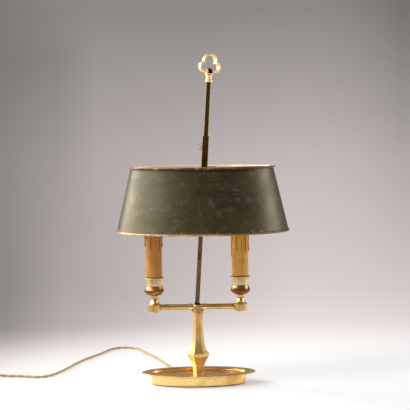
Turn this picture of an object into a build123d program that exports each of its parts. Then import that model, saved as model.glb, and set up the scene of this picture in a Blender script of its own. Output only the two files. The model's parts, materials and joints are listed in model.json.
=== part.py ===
from build123d import *
import math
import os

# Bouillotte lamp with two candle lights and a sliding oval shade.
# Lengths are in millimetres and angles in degrees. X is right, Y is back, Z is up.
# The origin is the middle of the underside of the felt pad.

# Fits
thread_gap = 0.05
turning_gap = 0.05
loose_gap = 0.2
slide_gap = 0.1

# Base
felt_thick = 1.5
felt_inset = 0.8
drum_length = 149.0
drum_depth = 67.0
drum_height = 15.5
drum_wall = 3.0
drum_neck_fillet = 1.6
flange_length = 180.0
flange_depth = 85.0
flange_thick = 1.8
flange_edge = 0.5
recess_length = 147.0
recess_depth = 65.0
recess_drop = 4.5
recess_round = 3.8
floor_thick = 3.0

# Weight, its screws and the tie tube that clamps the column to the base
weight_gap = 1.2
weight_lift = 1.1
weight_hole = 30.0
weight_slot = 9.0
screw_spacing = 100.0
screw_shank = 4.0
screw_head = 7.6
screw_head_high = 2.4
screw_head_sink = 4.0
screw_bite = 1.8
tie_outer = 10.0
tie_bore = 6.4
tie_below_nut = 0.3
washer_outer = 22.0
washer_thick = 1.2
nut_flats = 15.0
nut_high = 3.4

# Column, six-sided with a flat to the front: radii are measured to the corners, heights from the base floor
column_turn = 3.5
column_bore_gap = 0.2
foot_radius = 11.8
ankle_radius = 8.1
ankle_height = 3.5
ankle_hollow = 0.9
stalk_radius = 9.3
stalk_height = 15.1
bowl_radius = 11.8
bowl_height = 20.7
bowl_round = 3.0
collar_radius = 17.1
collar_low = 29.7
collar_edge = 33.7
collar_chamfer = 1.4
foot_height = 35.9
shaft_foot_radius = 13.6
shaft_knee_radius = 9.1
shaft_knee_height = 20.8
shaft_low_hollow = 0.62
shaft_top_radius = 7.6
shaft_high_hollow = 0.39
shaft_height = 61.8
cap_radius = 9.2
cap_height = 4.8
cap_groove = 0.4
cap_groove_deep = 0.8

# Hub and arms
hub_radius = 8.0
hub_height = 9.4
hub_edge_round = 2.0
hub_spigot = 12.4
hub_spigot_long = 4.0
hub_cavity = 9.5
hub_roof = 2.2
arm_rise = 5.2
arm_outer = 9.0
arm_bore = 5.6
arm_spigot = 7.0
arm_spigot_inside = 0.2
ferrule_outer = 10.2
ferrule_end = 14.5
light_spacing = 136.0
end_hub_radius = 10.2
end_hub_below = 6.8
end_hub_height = 11.5
end_hub_edge = 0.7
end_hub_floor = 2.0
cap_nut_head = 10.0
cap_nut_head_high = 1.0
cap_nut_shank = 6.0

# Stems, cups and candles, heights from the top of the end hubs
nipple_outer = 8.0
nipple_bore = 5.0
nipple_side_hole = 5.0
nipple_above_seat = 4.0
stem_foot_radius = 9.7
stem_neck_radius = 4.9
stem_neck_height = 8.6
stem_hollow = 0.9
stem_bead_radius = 5.9
stem_bead_high = 1.4
stem_top_radius = 5.2
stem_height = 13.6
cup_foot_radius = 5.7
cup_under_bulge = 1.4
cup_belly_radius = 15.2
cup_belly_height = 6.6
cup_belly_band = 3.0
cup_waist_radius = 12.9
cup_waist_height = 18.6
cup_hollow = 0.9
cup_rim_radius = 16.0
cup_rim_thick = 1.9
cup_rim_edge = 0.6
cup_height = 29.3
cup_seat_drop = 1.2
sleeve_radius = 13.0
sleeve_wall = 1.0
sleeve_seat_gap = 0.15
sleeve_height = 82.6
drip_radius = 1.6
drip_proud = 0.35
holder_radius = 11.0
holder_height = 77.6
holder_screw_depth = 22.0
bulb_cap_radius = 7.0
bulb_cap_high = 25.0
bulb_cap_gap = 0.2
bulb_radius = 17.5
bulb_height = 81.0
bulb_belly = 0.36
bulb_wall = 0.8
bulb_steps = 9

# Mast: a square bar that leans to the right
mast_lean = 3.85
mast_width = 7.0
mast_corner = 0.5
mast_axis_rise = 19.7
mast_stud = 5.0
mast_stud_in_hub = 2.6
spot_face = 10.4
spot_drop = 0.4
locknut_radius = 4.5
locknut_high = 3.0
mast_length = 346.9
mast_thread_long = 22.0

# Finial, heights from the top of the square mast
neck_flange_radius = 5.6
neck_flange_high = 3.6
neck_waist_radius = 3.9
neck_top_radius = 5.4
neck_height = 11.3
ring_turn = 30.0
ring_deep = 8.0
ring_edge_round = 1.5
ring_centre = 32.7
ring_radius = 12.2
ring_lobe_radius = 8.6
ring_lobe_x = 9.8
ring_lobe_drop = 9.0
ring_gap_radius = 9.6
ring_gap_lobe_radius = 6.1
ring_gap_lobe_x = 9.9
ring_gap_lobe_drop = 9.2
ring_gap_foot_radius = 7.0
ring_gap_foot_drop = 7.5
ring_seat_drop = 19.0
ring_nut_width = 7.5
ring_nut_high = 6.5

# Slider on the mast, and its clamping lever
slider_width = 10.0
slider_length = 66.5
slider_rise = 196.2
slider_corner = 0.5
slot_below = 3.0
slot_above = 4.2
lever_rise = 49.0
bracket_plate = 0.8
bracket_high = 11.0
bracket_reach = 4.6
ear_thick = 1.0
pin_out = 7.0
pin_radius = 0.8
pin_head_radius = 1.3
pin_head_high = 0.5
lever_width = 6.0
lever_boss_radius = 2.2
lever_nose_radius = 1.2
lever_nose_gap = 0.3
lever_long = 9.3
lever_thick = 1.8
lever_angle = 33.0

# Shade: flared oval of thin sheet, with a strap across it that is fixed to the slider
shade_low_length = 270.4
shade_low_depth = 190.0
shade_top_length = 223.8
shade_top_depth = 139.0
shade_low_z = 243.0
shade_height = 99.0
shade_wall = 0.8
shade_from_slider = -3.75
bead_radius = 1.8
bead_steps = 16
top_bead_out = 1.2
top_bead_rise = 0.3
strap_width = 20.0
strap_thick = 1.5
strap_from_slider = 8.25
strap_below_top = 1.0
strap_tab = 12.0
rivet_spacing = 14.6
rivet_below_top = 6.3
rivet_shank = 3.0
rivet_head_radius = 2.5
rivet_head_high = 1.0

# Mains inlet and the inner leads
cord_diameter = 5.0
inlet_x = -30.0
inlet_z = 7.2
inlet_bore_gap = 0.1
bushing_spigot_radius = 4.0
bushing_spigot_extra = 1.5
bushing_flange_radius = 5.5
bushing_flange_thick = 1.5
bushing_sleeve_long = 20.5
bushing_sleeve_radius = 4.2
bushing_tip_radius = 3.2
block_from_wall = 8.0
block_long = 18.0
block_wide = 10.0
block_high = 7.0
block_pocket_gap = 2.0
lead_diameter = 2.0
lead_offset = 1.25
lead_floor_gap = 1.5
lead_spread = 1.6
lead_ahead = 5.0
lead_bend_base = 2.2
lead_bend_hub = 4.0
lead_bend_end = 2.3

# In-line switch, coil and plug on the mains cord
switch_long = 58.0
switch_wide = 22.0
switch_high = 14.0
switch_round = 4.0
rocker_long = 13.0
rocker_wide = 10.0
rocker_gap = 1.1
rocker_side_gap = 0.3
rocker_pivot_drop = 1.2
rocker_end_high = 2.6
rocker_dip_high = 1.6
rocker_under = 3.2
rocker_pocket_under = 4.8
rocker_pin_radius = 1.0
rocker_pin_long = 1.2
rocker_tilt = 8.0
coil_x = -435.0
coil_y = 15.0
coil_turn_diameter = 55.0
coil_turns_beside = 3
coil_turns_high = 2
coil_edge = 1.8
plug_back_x = -392.0
plug_y = -15.5
plug_long = 36.0
plug_wide = 35.0
plug_neck = 11.0
plug_thick = 13.7
plug_round = 2.5
plug_pin_radius = 2.0
plug_pin_long = 19.0
plug_pin_spacing = 19.0

# Heights and places that follow from the sizes
flange_bottom = felt_thick + drum_height
flange_top = flange_bottom + flange_thick
floor_top = flange_top - recess_drop
floor_under = floor_top - floor_thick
weight_low = felt_thick + weight_lift
nut_top = floor_under - washer_thick
nut_low = nut_top - nut_high
collar_top = floor_top + foot_height
shaft_top = collar_top + shaft_height
hub_low = shaft_top + cap_height
hub_top = hub_low + hub_height
tie_top = hub_low - loose_gap
tie_low = nut_low - tie_below_nut
arm_z = hub_low + arm_rise
light_x = light_spacing / 2
end_hub_low = arm_z - end_hub_below
end_hub_top = end_hub_low + end_hub_height
stem_top = end_hub_top + stem_height
cup_top = stem_top + cup_height
candle_seat = cup_top - cup_seat_drop
holder_top = candle_seat + holder_height
bulb_cap_low = holder_top - holder_screw_depth
bulb_low = bulb_cap_low + bulb_cap_high

# The mast has its own axes: x right across the bar, y back, z along the bar
mast_axis_z = hub_low + mast_axis_rise
lean_sine = math.sin(math.radians(mast_lean))
lean_cosine = math.cos(math.radians(mast_lean))
mast_axes = Plane((0, 0, mast_axis_z), x_dir=(lean_cosine, 0, -lean_sine), z_dir=(lean_sine, 0, lean_cosine))
mast_seat = (hub_top - mast_axis_z) / lean_cosine - spot_drop
mast_foot = mast_seat + locknut_high
mast_top = mast_foot + mast_length
slider_low = mast_foot + slider_rise
slider_top = slider_low + slider_length
lever_z = slider_low + lever_rise
slider_bore = mast_width + 2 * slide_gap
travel_down = slider_low - mast_foot - 1.0
travel_up = mast_top - slider_top - 1.0

# The shade is level and stands beside the leaning mast
shade_top_z = shade_low_z + shade_height
strap_top = shade_top_z - strap_below_top
slider_x = (strap_top - mast_axis_z) * lean_sine / lean_cosine
shade_x = slider_x + shade_from_slider
strap_x = slider_x + strap_from_slider

# The cord leaves the drum square to its wall
inlet_y = drum_depth / 2 * math.sqrt(1 - (2 * inlet_x / drum_length) ** 2)
inlet_slope = Vector(inlet_x / drum_length ** 2, inlet_y / drum_depth ** 2).normalized()
inlet_axes = Plane((inlet_x, inlet_y, inlet_z), x_dir=(0, 0, 1), z_dir=inlet_slope)
bushing_tip = bushing_flange_thick + bushing_sleeve_long
cord_exit = inlet_axes.from_local_coords(Vector(0, 0, bushing_tip))
cord_ahead = inlet_axes.from_local_coords(Vector(0, 0, bushing_tip + 16.0))

# The cord's route over the table, as chosen points
floor_z = cord_diameter / 2
entry_z = 6.0
cord_route = [
    (cord_exit.X, cord_exit.Y, cord_exit.Z),
    (cord_ahead.X, cord_ahead.Y, cord_ahead.Z),
    (-39.6, 86.5, 4.4),
    (-43.0, 108.0, floor_z),
    (-53.0, 133.0, floor_z),
    (-62.0, 162.0, floor_z),
    (-72.0, 192.0, floor_z),
    (-85.0, 229.0, floor_z),
    (-104.0, 271.0, floor_z),
    (-114.0, 301.0, floor_z),
    (-136.0, 312.0, floor_z),
    (-158.0, 302.0, floor_z),
    (-169.0, 274.0, floor_z),
    (-179.0, 245.0, floor_z),
    (-192.0, 217.0, floor_z),
    (-204.0, 188.0, floor_z),
    (-214.0, 155.0, floor_z),
    (-222.0, 121.0, floor_z),
    (-233.0, 86.0, floor_z),
    (-243.0, 62.0, floor_z),
    (-262.0, 53.0, floor_z),
    (-282.0, 62.0, floor_z),
    (-304.0, 66.0, floor_z),
    (-322.0, 66.9, 3.0),
    (-339.0, 67.3, entry_z),
    (-352.0, 67.3, entry_z),
]
switch_x = cord_route[-1][0]
switch_y = cord_route[-1][1]
switch_far_x = switch_x - switch_long
coil_radius = coil_turn_diameter / 2
tail_route = [
    (switch_far_x, switch_y, entry_z),
    (switch_far_x - 14.0, switch_y, entry_z),
    (switch_far_x - 30.0, switch_y - 4.3, 3.0),
    (switch_far_x - 44.0, switch_y - 15.3, floor_z),
    (coil_x - coil_radius + 1.0, coil_y + 20.0, floor_z),
    (coil_x - coil_radius, coil_y + 2.0, floor_z),
]
plug_z = plug_thick / 2
end_route = [
    (coil_x + 4.0, coil_y - coil_radius, floor_z),
    (coil_x + 19.0, coil_y - coil_radius - 0.6, 2.8),
    (plug_back_x - 10.0, plug_y, plug_z),
    (plug_back_x, plug_y, plug_z),
]

parts = {}


def rod(radius, low, high, x=0.0, y=0.0):
    return Pos(x, y, (low + high) / 2) * Cylinder(radius, high - low)


def rod_along_x(radius, start, end, z):
    return Pos((start + end) / 2, 0, z) * Rot(0, 90, 0) * Cylinder(radius, abs(end - start))


def bar(width, depth, low, high, x=0.0, y=0.0):
    return Pos(x, y, (low + high) / 2) * Box(width, depth, high - low)


def oval(length, depth, low, high):
    return Pos(0, 0, low) * extrude(Ellipse(length / 2, depth / 2), high - low)


def turned(outline):
    """Turn a closed outline of radius and height about the Z axis."""
    return revolve(Plane.XZ * make_face(outline), Axis.Z)


def tube_along(route, radius, bends):
    path = FilletPolyline(*route, radius=bends)
    return sweep(Plane(path @ 0, z_dir=path % 0) * Circle(radius), path=path)


def largest_bends(route):
    """The radius of each arc: 0.45 of its shorter run over the tangent of half the turn."""
    points = [Vector(*point) for point in route]
    radii = []
    for before, corner, after in zip(points, points[1:], points[2:]):
        first = corner - before
        second = after - corner
        half_turn = math.radians(first.get_angle(second)) / 2
        radii.append(0.45 * min(first.length, second.length) / math.tan(half_turn))
    return radii


# Base

def make_base():
    drum = oval(drum_length, drum_depth, felt_thick, flange_bottom)
    flange = oval(flange_length, flange_depth, flange_bottom, flange_top)
    flange = chamfer(flange.edges(), flange_edge)
    tray = drum + flange
    neck = tray.edges().filter_by_position(Axis.Z, flange_bottom - 0.01, flange_bottom + 0.01)
    tray = fillet(neck.sort_by(SortBy.LENGTH)[0], drum_neck_fillet)
    recess = oval(recess_length, recess_depth, floor_top, flange_top)
    recess = fillet(recess.faces().sort_by(Axis.Z)[0].edges(), recess_round)
    hollow = oval(drum_length - 2 * drum_wall, drum_depth - 2 * drum_wall, felt_thick, floor_under)
    tie_hole = rod(tie_outer / 2 + loose_gap / 2, floor_under, floor_top)
    inlet_hole = inlet_axes.location * rod(
        bushing_spigot_radius + turning_gap, -drum_wall - 1, bushing_flange_thick
    )
    tray = tray - recess - hollow - tie_hole - inlet_hole
    for side in (-1, 1):
        tray -= rod(
            screw_shank / 2 + thread_gap, floor_under, floor_under + screw_bite + loose_gap,
            side * screw_spacing / 2,
        )
    parts["base_tray"] = tray
    parts["felt_pad"] = oval(drum_length - 2 * felt_inset, drum_depth - 2 * felt_inset, 0, felt_thick)


def make_weight():
    inset = 2 * (drum_wall + weight_gap)
    weight = oval(drum_length - inset, drum_depth - inset, weight_low, floor_under)
    weight -= rod(weight_hole / 2, weight_low, floor_under)
    pocket_long = block_long + 2 * block_pocket_gap
    pocket_middle = -block_from_wall - block_long / 2
    weight_high = 2 * (floor_under + inlet_z)
    weight -= inlet_axes.location * Pos(0, 0, pocket_middle) * Box(
        weight_high, block_wide + 2 * block_pocket_gap, pocket_long
    )
    weight -= inlet_axes.location * Pos(0, 0, pocket_middle / 2) * Box(
        weight_high, weight_slot, -pocket_middle
    )
    leads_turn = inlet_axes.from_local_coords(Vector(0, 0, -block_from_wall - block_long - lead_ahead))
    slot_long = math.hypot(leads_turn.X, leads_turn.Y) + weight_slot / 2
    slot_turn = math.degrees(math.atan2(leads_turn.Y, leads_turn.X))
    weight -= Rot(0, 0, slot_turn) * Pos(slot_long / 2, 0, inlet_z) * Box(
        slot_long, weight_slot, weight_high
    )
    screws = Part()
    head_top = weight_low + screw_head_sink
    for side in (-1, 1):
        x = side * screw_spacing / 2
        weight -= rod(screw_head / 2 + loose_gap, weight_low, head_top, x)
        weight -= rod(screw_shank / 2 + loose_gap, head_top, floor_under, x)
        screw = rod(screw_head / 2, head_top - screw_head_high, head_top, x)
        screw += rod(screw_shank / 2, head_top, floor_under + screw_bite, x)
        slot = bar(screw_head, 1.0, head_top - screw_head_high, head_top - screw_head_high + 0.9, x)
        screws += screw - slot
    parts["base_weight"] = weight
    parts["weight_screws"] = screws


def make_tie():
    thread_hole = tie_outer / 2 + thread_gap
    parts["tie_tube"] = rod(tie_outer / 2, tie_low, tie_top) - rod(tie_bore / 2, tie_low, tie_top)
    washer = rod(washer_outer / 2, nut_top, floor_under)
    parts["base_washer"] = washer - rod(tie_outer / 2 + loose_gap / 2, nut_top, floor_under)
    nut = Pos(0, 0, nut_low) * extrude(RegularPolygon(nut_flats / 2, 6, major_radius=False), nut_high)
    parts["base_nut"] = nut - rod(thread_hole, nut_low, nut_top)


# Column

def six_sided(outline):
    """A six-sided turning: the same half outline cut from three directions."""
    low = outline @ 0
    high = outline @ 1
    half = make_face(outline + Polyline(high, (0, high.Y), (0, low.Y), low))
    whole = Plane.XZ * (half + mirror(half, Plane.YZ))
    slab = extrude(whole, collar_radius + 5, both=True)
    turning = slab & Rot(0, 0, 60) * slab & Rot(0, 0, 120) * slab
    return Rot(0, 0, 30 + column_turn) * turning


def corner(radius, height):
    """A point of a six-sided outline, from its radius to the corners."""
    return (radius * math.cos(math.pi / 6), height)


def make_column():
    bore = rod(tie_outer / 2 + column_bore_gap, floor_top, hub_low)
    ankle = corner(ankle_radius, floor_top + ankle_height)
    flare = SagittaArc(corner(foot_radius, floor_top), ankle, ankle_hollow)
    stalk = FilletPolyline(
        ankle,
        corner(stalk_radius, floor_top + stalk_height),
        corner(bowl_radius, floor_top + bowl_height),
        corner(collar_radius, floor_top + collar_low),
        corner(collar_radius, floor_top + collar_edge),
        corner(collar_radius - collar_chamfer, collar_top),
        radius=[bowl_round, bowl_round, 0, 0],
    )
    parts["column_foot"] = six_sided(flare + stalk) - bore

    knee = corner(shaft_knee_radius, collar_top + shaft_knee_height)
    low_curve = SagittaArc(corner(shaft_foot_radius, collar_top), knee, shaft_low_hollow)
    high_curve = SagittaArc(knee, corner(shaft_top_radius, shaft_top), shaft_high_hollow)
    parts["column_shaft"] = six_sided(low_curve + high_curve) - bore

    bead_high = (cap_height - cap_groove) / 2
    bead = chamfer(rod(cap_radius, 0, bead_high).edges(), bead_high * 0.35)
    cap = rod(cap_radius - cap_groove_deep, shaft_top, hub_low)
    cap += Pos(0, 0, shaft_top) * bead + Pos(0, 0, hub_low - bead_high) * bead
    seat = rod(hub_spigot / 2 + turning_gap, hub_low - hub_spigot_long, hub_low)
    parts["column_cap"] = cap - bore - seat


def make_hub():
    hub = rod(hub_radius, hub_low, hub_top)
    hub = fillet(hub.faces().sort_by(Axis.Z)[-1].edges(), hub_edge_round)
    hub += rod(hub_spigot / 2, hub_low - hub_spigot_long, hub_low)
    hub -= rod(tie_outer / 2 + thread_gap, hub_low - hub_spigot_long, hub_low)
    hub -= rod(hub_cavity / 2, hub_low, hub_top - hub_roof)
    hub -= rod_along_x(arm_spigot / 2 + turning_gap, -hub_radius, hub_radius, arm_z)
    hub -= mast_axes.location * rod(spot_face / 2, mast_seat, mast_seat + hub_height)
    hub -= mast_axes.location * rod(mast_stud / 2 + thread_gap, mast_seat - hub_height / 2, mast_seat)
    parts["centre_hub"] = hub


# Arms, stems, cups and candles. Side is -1 for left and 1 for right.

def make_arm(side, name):
    hub_face = rod(hub_radius + turning_gap, hub_low - hub_height, hub_top + hub_height)
    end_face = Pos(side * light_x, 0, 0) * rod(
        end_hub_radius + turning_gap, end_hub_low - arm_outer, end_hub_top + arm_outer
    )
    inner_end = hub_cavity / 2 + arm_spigot_inside
    outer_end = light_x - nipple_outer / 2 - arm_spigot_inside
    tube = rod_along_x(arm_outer / 2, side * hub_radius / 2, side * light_x, arm_z)
    arm = tube - hub_face - end_face + rod_along_x(arm_spigot / 2, side * inner_end, side * outer_end, arm_z)
    parts["arm_" + name] = arm - rod_along_x(arm_bore / 2, 0, side * light_x, arm_z)

    ferrule = rod_along_x(ferrule_outer / 2, side * hub_radius / 2, side * ferrule_end, arm_z)
    outer_rim = ferrule.edges().filter_by(GeomType.CIRCLE).sort_by(Axis.X)[0 if side < 0 else -1]
    ferrule = fillet(outer_rim, (ferrule_outer - arm_outer) / 4)
    ferrule -= rod_along_x(arm_outer / 2 + turning_gap, 0, side * light_x, arm_z)
    parts["ferrule_" + name] = ferrule - hub_face


def make_end_hub(side, name):
    x = side * light_x
    hub = rod(end_hub_radius, end_hub_low, end_hub_top, x)
    hub = chamfer(hub.edges().filter_by(GeomType.CIRCLE), end_hub_edge)
    hub -= rod(nipple_outer / 2 + thread_gap, end_hub_low + end_hub_floor, end_hub_top, x)
    hub -= rod(cap_nut_shank / 2 + thread_gap, end_hub_low, end_hub_low + end_hub_floor, x)
    hub -= rod_along_x(arm_spigot / 2 + turning_gap, side * light_x, side * hub_radius, arm_z)
    parts["end_hub_" + name] = hub
    nut = rod(cap_nut_head / 2, end_hub_low - cap_nut_head_high, end_hub_low, x)
    nut = chamfer(nut.edges().filter_by(GeomType.CIRCLE).sort_by(Axis.Z)[0], cap_nut_head_high / 2)
    parts["hub_cap_" + name] = nut + rod(cap_nut_shank / 2, end_hub_low, end_hub_low + end_hub_floor, x)


def make_stem(side, name):
    hole = nipple_outer / 2 + turning_gap
    neck = (stem_neck_radius, end_hub_top + stem_neck_height)
    flare = SagittaArc((stem_foot_radius, end_hub_top), neck, stem_hollow)
    rise = Polyline(neck, (stem_top_radius, stem_top), (hole, stem_top), (hole, end_hub_top))
    stem = turned(flare + rise + Line((hole, end_hub_top), (stem_foot_radius, end_hub_top)))
    bead = rod(stem_bead_radius, neck[1], neck[1] + stem_bead_high)
    bead = chamfer(bead.edges(), stem_bead_high * 0.35)
    stem += bead - rod(hole, neck[1], neck[1] + stem_bead_high)
    parts["stem_" + name] = Pos(side * light_x, 0, 0) * stem


def make_cup(side, name):
    hole = nipple_outer / 2 + turning_gap
    seat_radius = sleeve_radius + sleeve_seat_gap
    rim_low = cup_top - cup_rim_thick
    foot = (cup_foot_radius, stem_top)
    belly = (cup_belly_radius, stem_top + cup_belly_height)
    belly_top = (cup_belly_radius, stem_top + cup_belly_height + cup_belly_band)
    waist = (cup_waist_radius, stem_top + cup_waist_height)
    band_top = (cup_waist_radius, rim_low)
    outside = Line((hole, stem_top), foot) + SagittaArc(foot, belly, -cup_under_bulge)
    outside += Line(belly, belly_top) + SagittaArc(belly_top, waist, cup_hollow) + Line(waist, band_top)
    rim_and_bore = Polyline(
        band_top,
        (cup_rim_radius - cup_rim_edge, rim_low),
        (cup_rim_radius, rim_low + cup_rim_edge),
        (cup_rim_radius, cup_top - cup_rim_edge),
        (cup_rim_radius - cup_rim_edge, cup_top),
        (seat_radius, cup_top),
        (seat_radius, candle_seat),
        (hole, candle_seat),
        (hole, stem_top),
    )
    parts["cup_" + name] = Pos(side * light_x, 0, 0) * turned(outside + rim_and_bore)


# Wax runs of each candle: angle round the candle from the right, and height of the lower end
drips_left = [(180, 51.8), (249, 48.8), (0, 50.1), (326, 44.8)]
drips_right = [(235, 49.8), (244, 44.8), (315, 41.3), (0, 41.8), (180, 33.8), (285, 43.8)]


def make_sleeve(side, name, drips):
    top = candle_seat + sleeve_height
    sleeve = rod(sleeve_radius, candle_seat, top)
    for angle, low in drips:
        reach = sleeve_radius + drip_proud
        run = rod(drip_radius, candle_seat + low, top) + Pos(0, 0, candle_seat + low) * Sphere(drip_radius)
        sleeve += Rot(0, 0, angle) * Pos(reach, 0, 0) * run
    sleeve -= rod(sleeve_radius - sleeve_wall, candle_seat, top)
    parts["candle_sleeve_" + name] = Pos(side * light_x, 0, 0) * sleeve


def make_light(side, name):
    x = side * light_x
    thread = nipple_outer / 2 + thread_gap
    nipple_low = end_hub_low + end_hub_floor + loose_gap
    nipple_top = candle_seat + nipple_above_seat
    nipple = rod(nipple_outer / 2, nipple_low, nipple_top, x) - rod(nipple_bore / 2, nipple_low, nipple_top, x)
    nipple -= rod_along_x(nipple_side_hole / 2, x - side * nipple_outer, x, arm_z)
    parts["nipple_" + name] = nipple

    holder = rod(holder_radius, candle_seat, holder_top, x)
    holder -= rod(thread, candle_seat, nipple_top + loose_gap, x)
    holder -= rod(bulb_cap_radius + bulb_cap_gap, bulb_cap_low - loose_gap, holder_top, x)
    parts["lampholder_" + name] = holder

    cap = rod(bulb_cap_radius, bulb_cap_low, bulb_low)
    cap = chamfer(cap.edges().filter_by(GeomType.CIRCLE).sort_by(Axis.Z)[0], bulb_cap_radius / 3)
    parts["bulb_cap_" + name] = Pos(x, 0, 0) * cap

    def flame(wall):
        belly = (bulb_radius - wall, bulb_low + bulb_height * bulb_belly)
        foot = (bulb_cap_radius - wall, bulb_low + wall)
        tip = (0, bulb_low + bulb_height - wall)
        curve = Spline(foot, belly, tip, tangents=[(0.5, 1), (0, 1), (-0.9, 0.6)])
        points = [curve @ (step / bulb_steps) for step in range(bulb_steps)]
        return turned(Polyline(*points, tip, (0, foot[1]), foot))

    parts["bulb_glass_" + name] = Pos(x, 0, 0) * (flame(0) - flame(bulb_wall))


# Mast and finial, in the mast's own axes

def place_on_mast(name, shape):
    parts[name] = mast_axes.location * shape


def make_mast():
    square = bar(mast_width, mast_width, mast_foot, mast_top)
    square = chamfer(square.edges().filter_by(Axis.Z), mast_corner)
    stud = rod(mast_stud / 2, mast_seat - mast_stud_in_hub, mast_foot)
    thread = rod(mast_stud / 2, mast_top, mast_top + mast_thread_long)
    place_on_mast("mast", square + stud + thread)
    locknut = rod(locknut_radius, mast_seat, mast_foot)
    locknut = chamfer(locknut.edges().filter_by(GeomType.CIRCLE), locknut_high / 6)
    place_on_mast("mast_locknut", locknut - rod(mast_stud / 2 + thread_gap, mast_seat, mast_foot))


def make_finial():
    hole = mast_stud / 2 + thread_gap
    neck_top = mast_top + neck_height
    flange_high = mast_top + neck_flange_high
    flange = rod(neck_flange_radius, mast_top, flange_high)
    flange = fillet(flange.edges().filter_by(GeomType.CIRCLE), neck_flange_high * 0.3)
    taper = turned(Polyline(
        (0, flange_high), (neck_waist_radius, flange_high), (neck_top_radius, neck_top),
        (0, neck_top), (0, flange_high),
    ))
    place_on_mast("finial_neck", flange + taper - rod(hole, mast_top, neck_top))

    centre = ring_centre
    outline = Pos(0, centre) * Circle(ring_radius)
    gap = Pos(0, centre) * Circle(ring_gap_radius)
    gap += Pos(0, centre - ring_gap_foot_drop) * Circle(ring_gap_foot_radius)
    for side in (-1, 1):
        outline += Pos(side * ring_lobe_x, centre - ring_lobe_drop) * Circle(ring_lobe_radius)
        gap += Pos(side * ring_gap_lobe_x, centre - ring_gap_lobe_drop) * Circle(ring_gap_lobe_radius)
    outline += make_face(Polyline(
        (-neck_top_radius, neck_height), (neck_top_radius, neck_height),
        (ring_lobe_x, centre - ring_lobe_drop), (-ring_lobe_x, centre - ring_lobe_drop),
        (-neck_top_radius, neck_height),
    ))
    gap += Pos(0, centre - ring_seat_drop / 2) * Rectangle(ring_nut_width + 2 * loose_gap, ring_seat_drop)
    ring = extrude(Plane.XZ * outline, ring_deep / 2, both=True)
    faces = ring.faces().filter_by(Axis.Y)
    ring = fillet(faces.edges(), ring_edge_round)
    ring -= extrude(Plane.XZ * gap, ring_deep, both=True)
    ring -= rod(hole, neck_height - 1, centre)
    place_on_mast("finial_ring", Pos(0, 0, mast_top) * Rot(0, 0, ring_turn) * ring)

    seat = mast_top + centre - ring_seat_drop
    nut = bar(ring_nut_width, ring_nut_width, seat, seat + ring_nut_high)
    nut = chamfer(nut.edges().filter_by(Axis.Z), mast_corner)
    nut -= rod(hole, seat, seat + ring_nut_high)
    place_on_mast("finial_nut", Rot(0, 0, ring_turn) * nut)


# Slider and clamping lever, in the mast's own axes

ear_inside = lever_width / 2 + loose_gap
ear_outside = ear_inside + ear_thick


def lever_slot():
    slot_x = -slider_width / 2 - bracket_plate / 2
    return bar(
        slider_width - slider_bore + 2 * bracket_plate, 2 * ear_inside,
        lever_z - slot_below, lever_z + slot_above, slot_x,
    )


def make_slider():
    slider = bar(slider_width, slider_width, slider_low, slider_top)
    slider = chamfer(slider.edges().filter_by(Axis.Z), slider_corner)
    slider -= bar(slider_bore, slider_bore, slider_low, slider_top)
    place_on_mast("slider", slider - lever_slot())

    plate_x = -slider_width / 2 - bracket_plate / 2
    low = lever_z - bracket_high / 2
    high = lever_z + bracket_high / 2
    bracket = bar(bracket_plate, 2 * ear_outside, low, high, plate_x) - lever_slot()
    ear_x = -slider_width / 2 - bracket_reach / 2
    for side in (-1, 1):
        ear = bar(bracket_reach, ear_thick, low, high, ear_x, side * (ear_inside + ear_thick / 2))
        outer = ear.edges().filter_by(Axis.Y).sort_by(Axis.X)[:2]
        bracket += fillet(outer, bracket_reach / 2)
    pin_hole = Pos(-pin_out, 0, lever_z) * Rot(90, 0, 0) * Cylinder(pin_radius, 4 * ear_outside)
    place_on_mast("lever_bracket", bracket - pin_hole)

    pin = Rot(90, 0, 0) * Cylinder(pin_radius, 2 * ear_outside)
    for side in (-1, 1):
        head = Rot(90, 0, 0) * Cylinder(pin_head_radius, pin_head_high)
        pin += Pos(0, side * (ear_outside + pin_head_high / 2), 0) * head
    place_on_mast("lever_pin", Pos(-pin_out, 0, lever_z) * pin)


def make_lever():
    nose_x = pin_out - mast_width / 2 - lever_nose_gap - lever_nose_radius
    cam = make_hull((Circle(lever_boss_radius) + Pos(nose_x, 0) * Circle(lever_nose_radius)).edges())
    tab = Pos(-lever_long / 2, 0) * SlotOverall(lever_long, lever_thick)
    tab += Pos(-lever_long / 4, 0) * Rectangle(lever_long / 2, lever_thick)
    side_view = cam + Rot(0, 0, -lever_angle) * tab
    lever = extrude(Plane.XZ * side_view, lever_width / 2, both=True)
    bore = Rot(90, 0, 0) * Cylinder(pin_radius + turning_gap, 2 * lever_width)
    place_on_mast("clamp_lever", Pos(-pin_out, 0, lever_z) * (lever - bore))


# Shade and strap

def shade_cone(inset):
    """The solid inside the shade's outer wall, less an inset."""
    low = Pos(shade_x, 0, shade_low_z) * Ellipse(shade_low_length / 2 - inset, shade_low_depth / 2 - inset)
    high = Pos(shade_x, 0, shade_top_z) * Ellipse(shade_top_length / 2 - inset, shade_top_depth / 2 - inset)
    return loft([low.face(), high.face()], ruled=True)


def wall_axes(x, z, front):
    """Axes on the shade's outer wall at the given X and Z, looking square out of it."""
    share = (z - shade_low_z) / shade_height
    half_length = (shade_low_length + share * (shade_top_length - shade_low_length)) / 2
    half_depth = (shade_low_depth + share * (shade_top_depth - shade_low_depth)) / 2
    along = (x - shade_x) / half_length
    y = front * half_depth * math.sqrt(1 - along ** 2)
    rise = (shade_low_depth - shade_top_depth) / 2 / shade_height
    outward = Vector(along / half_length * half_depth, y / half_depth, rise).normalized()
    return Plane((x, y, z), z_dir=outward)


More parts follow.
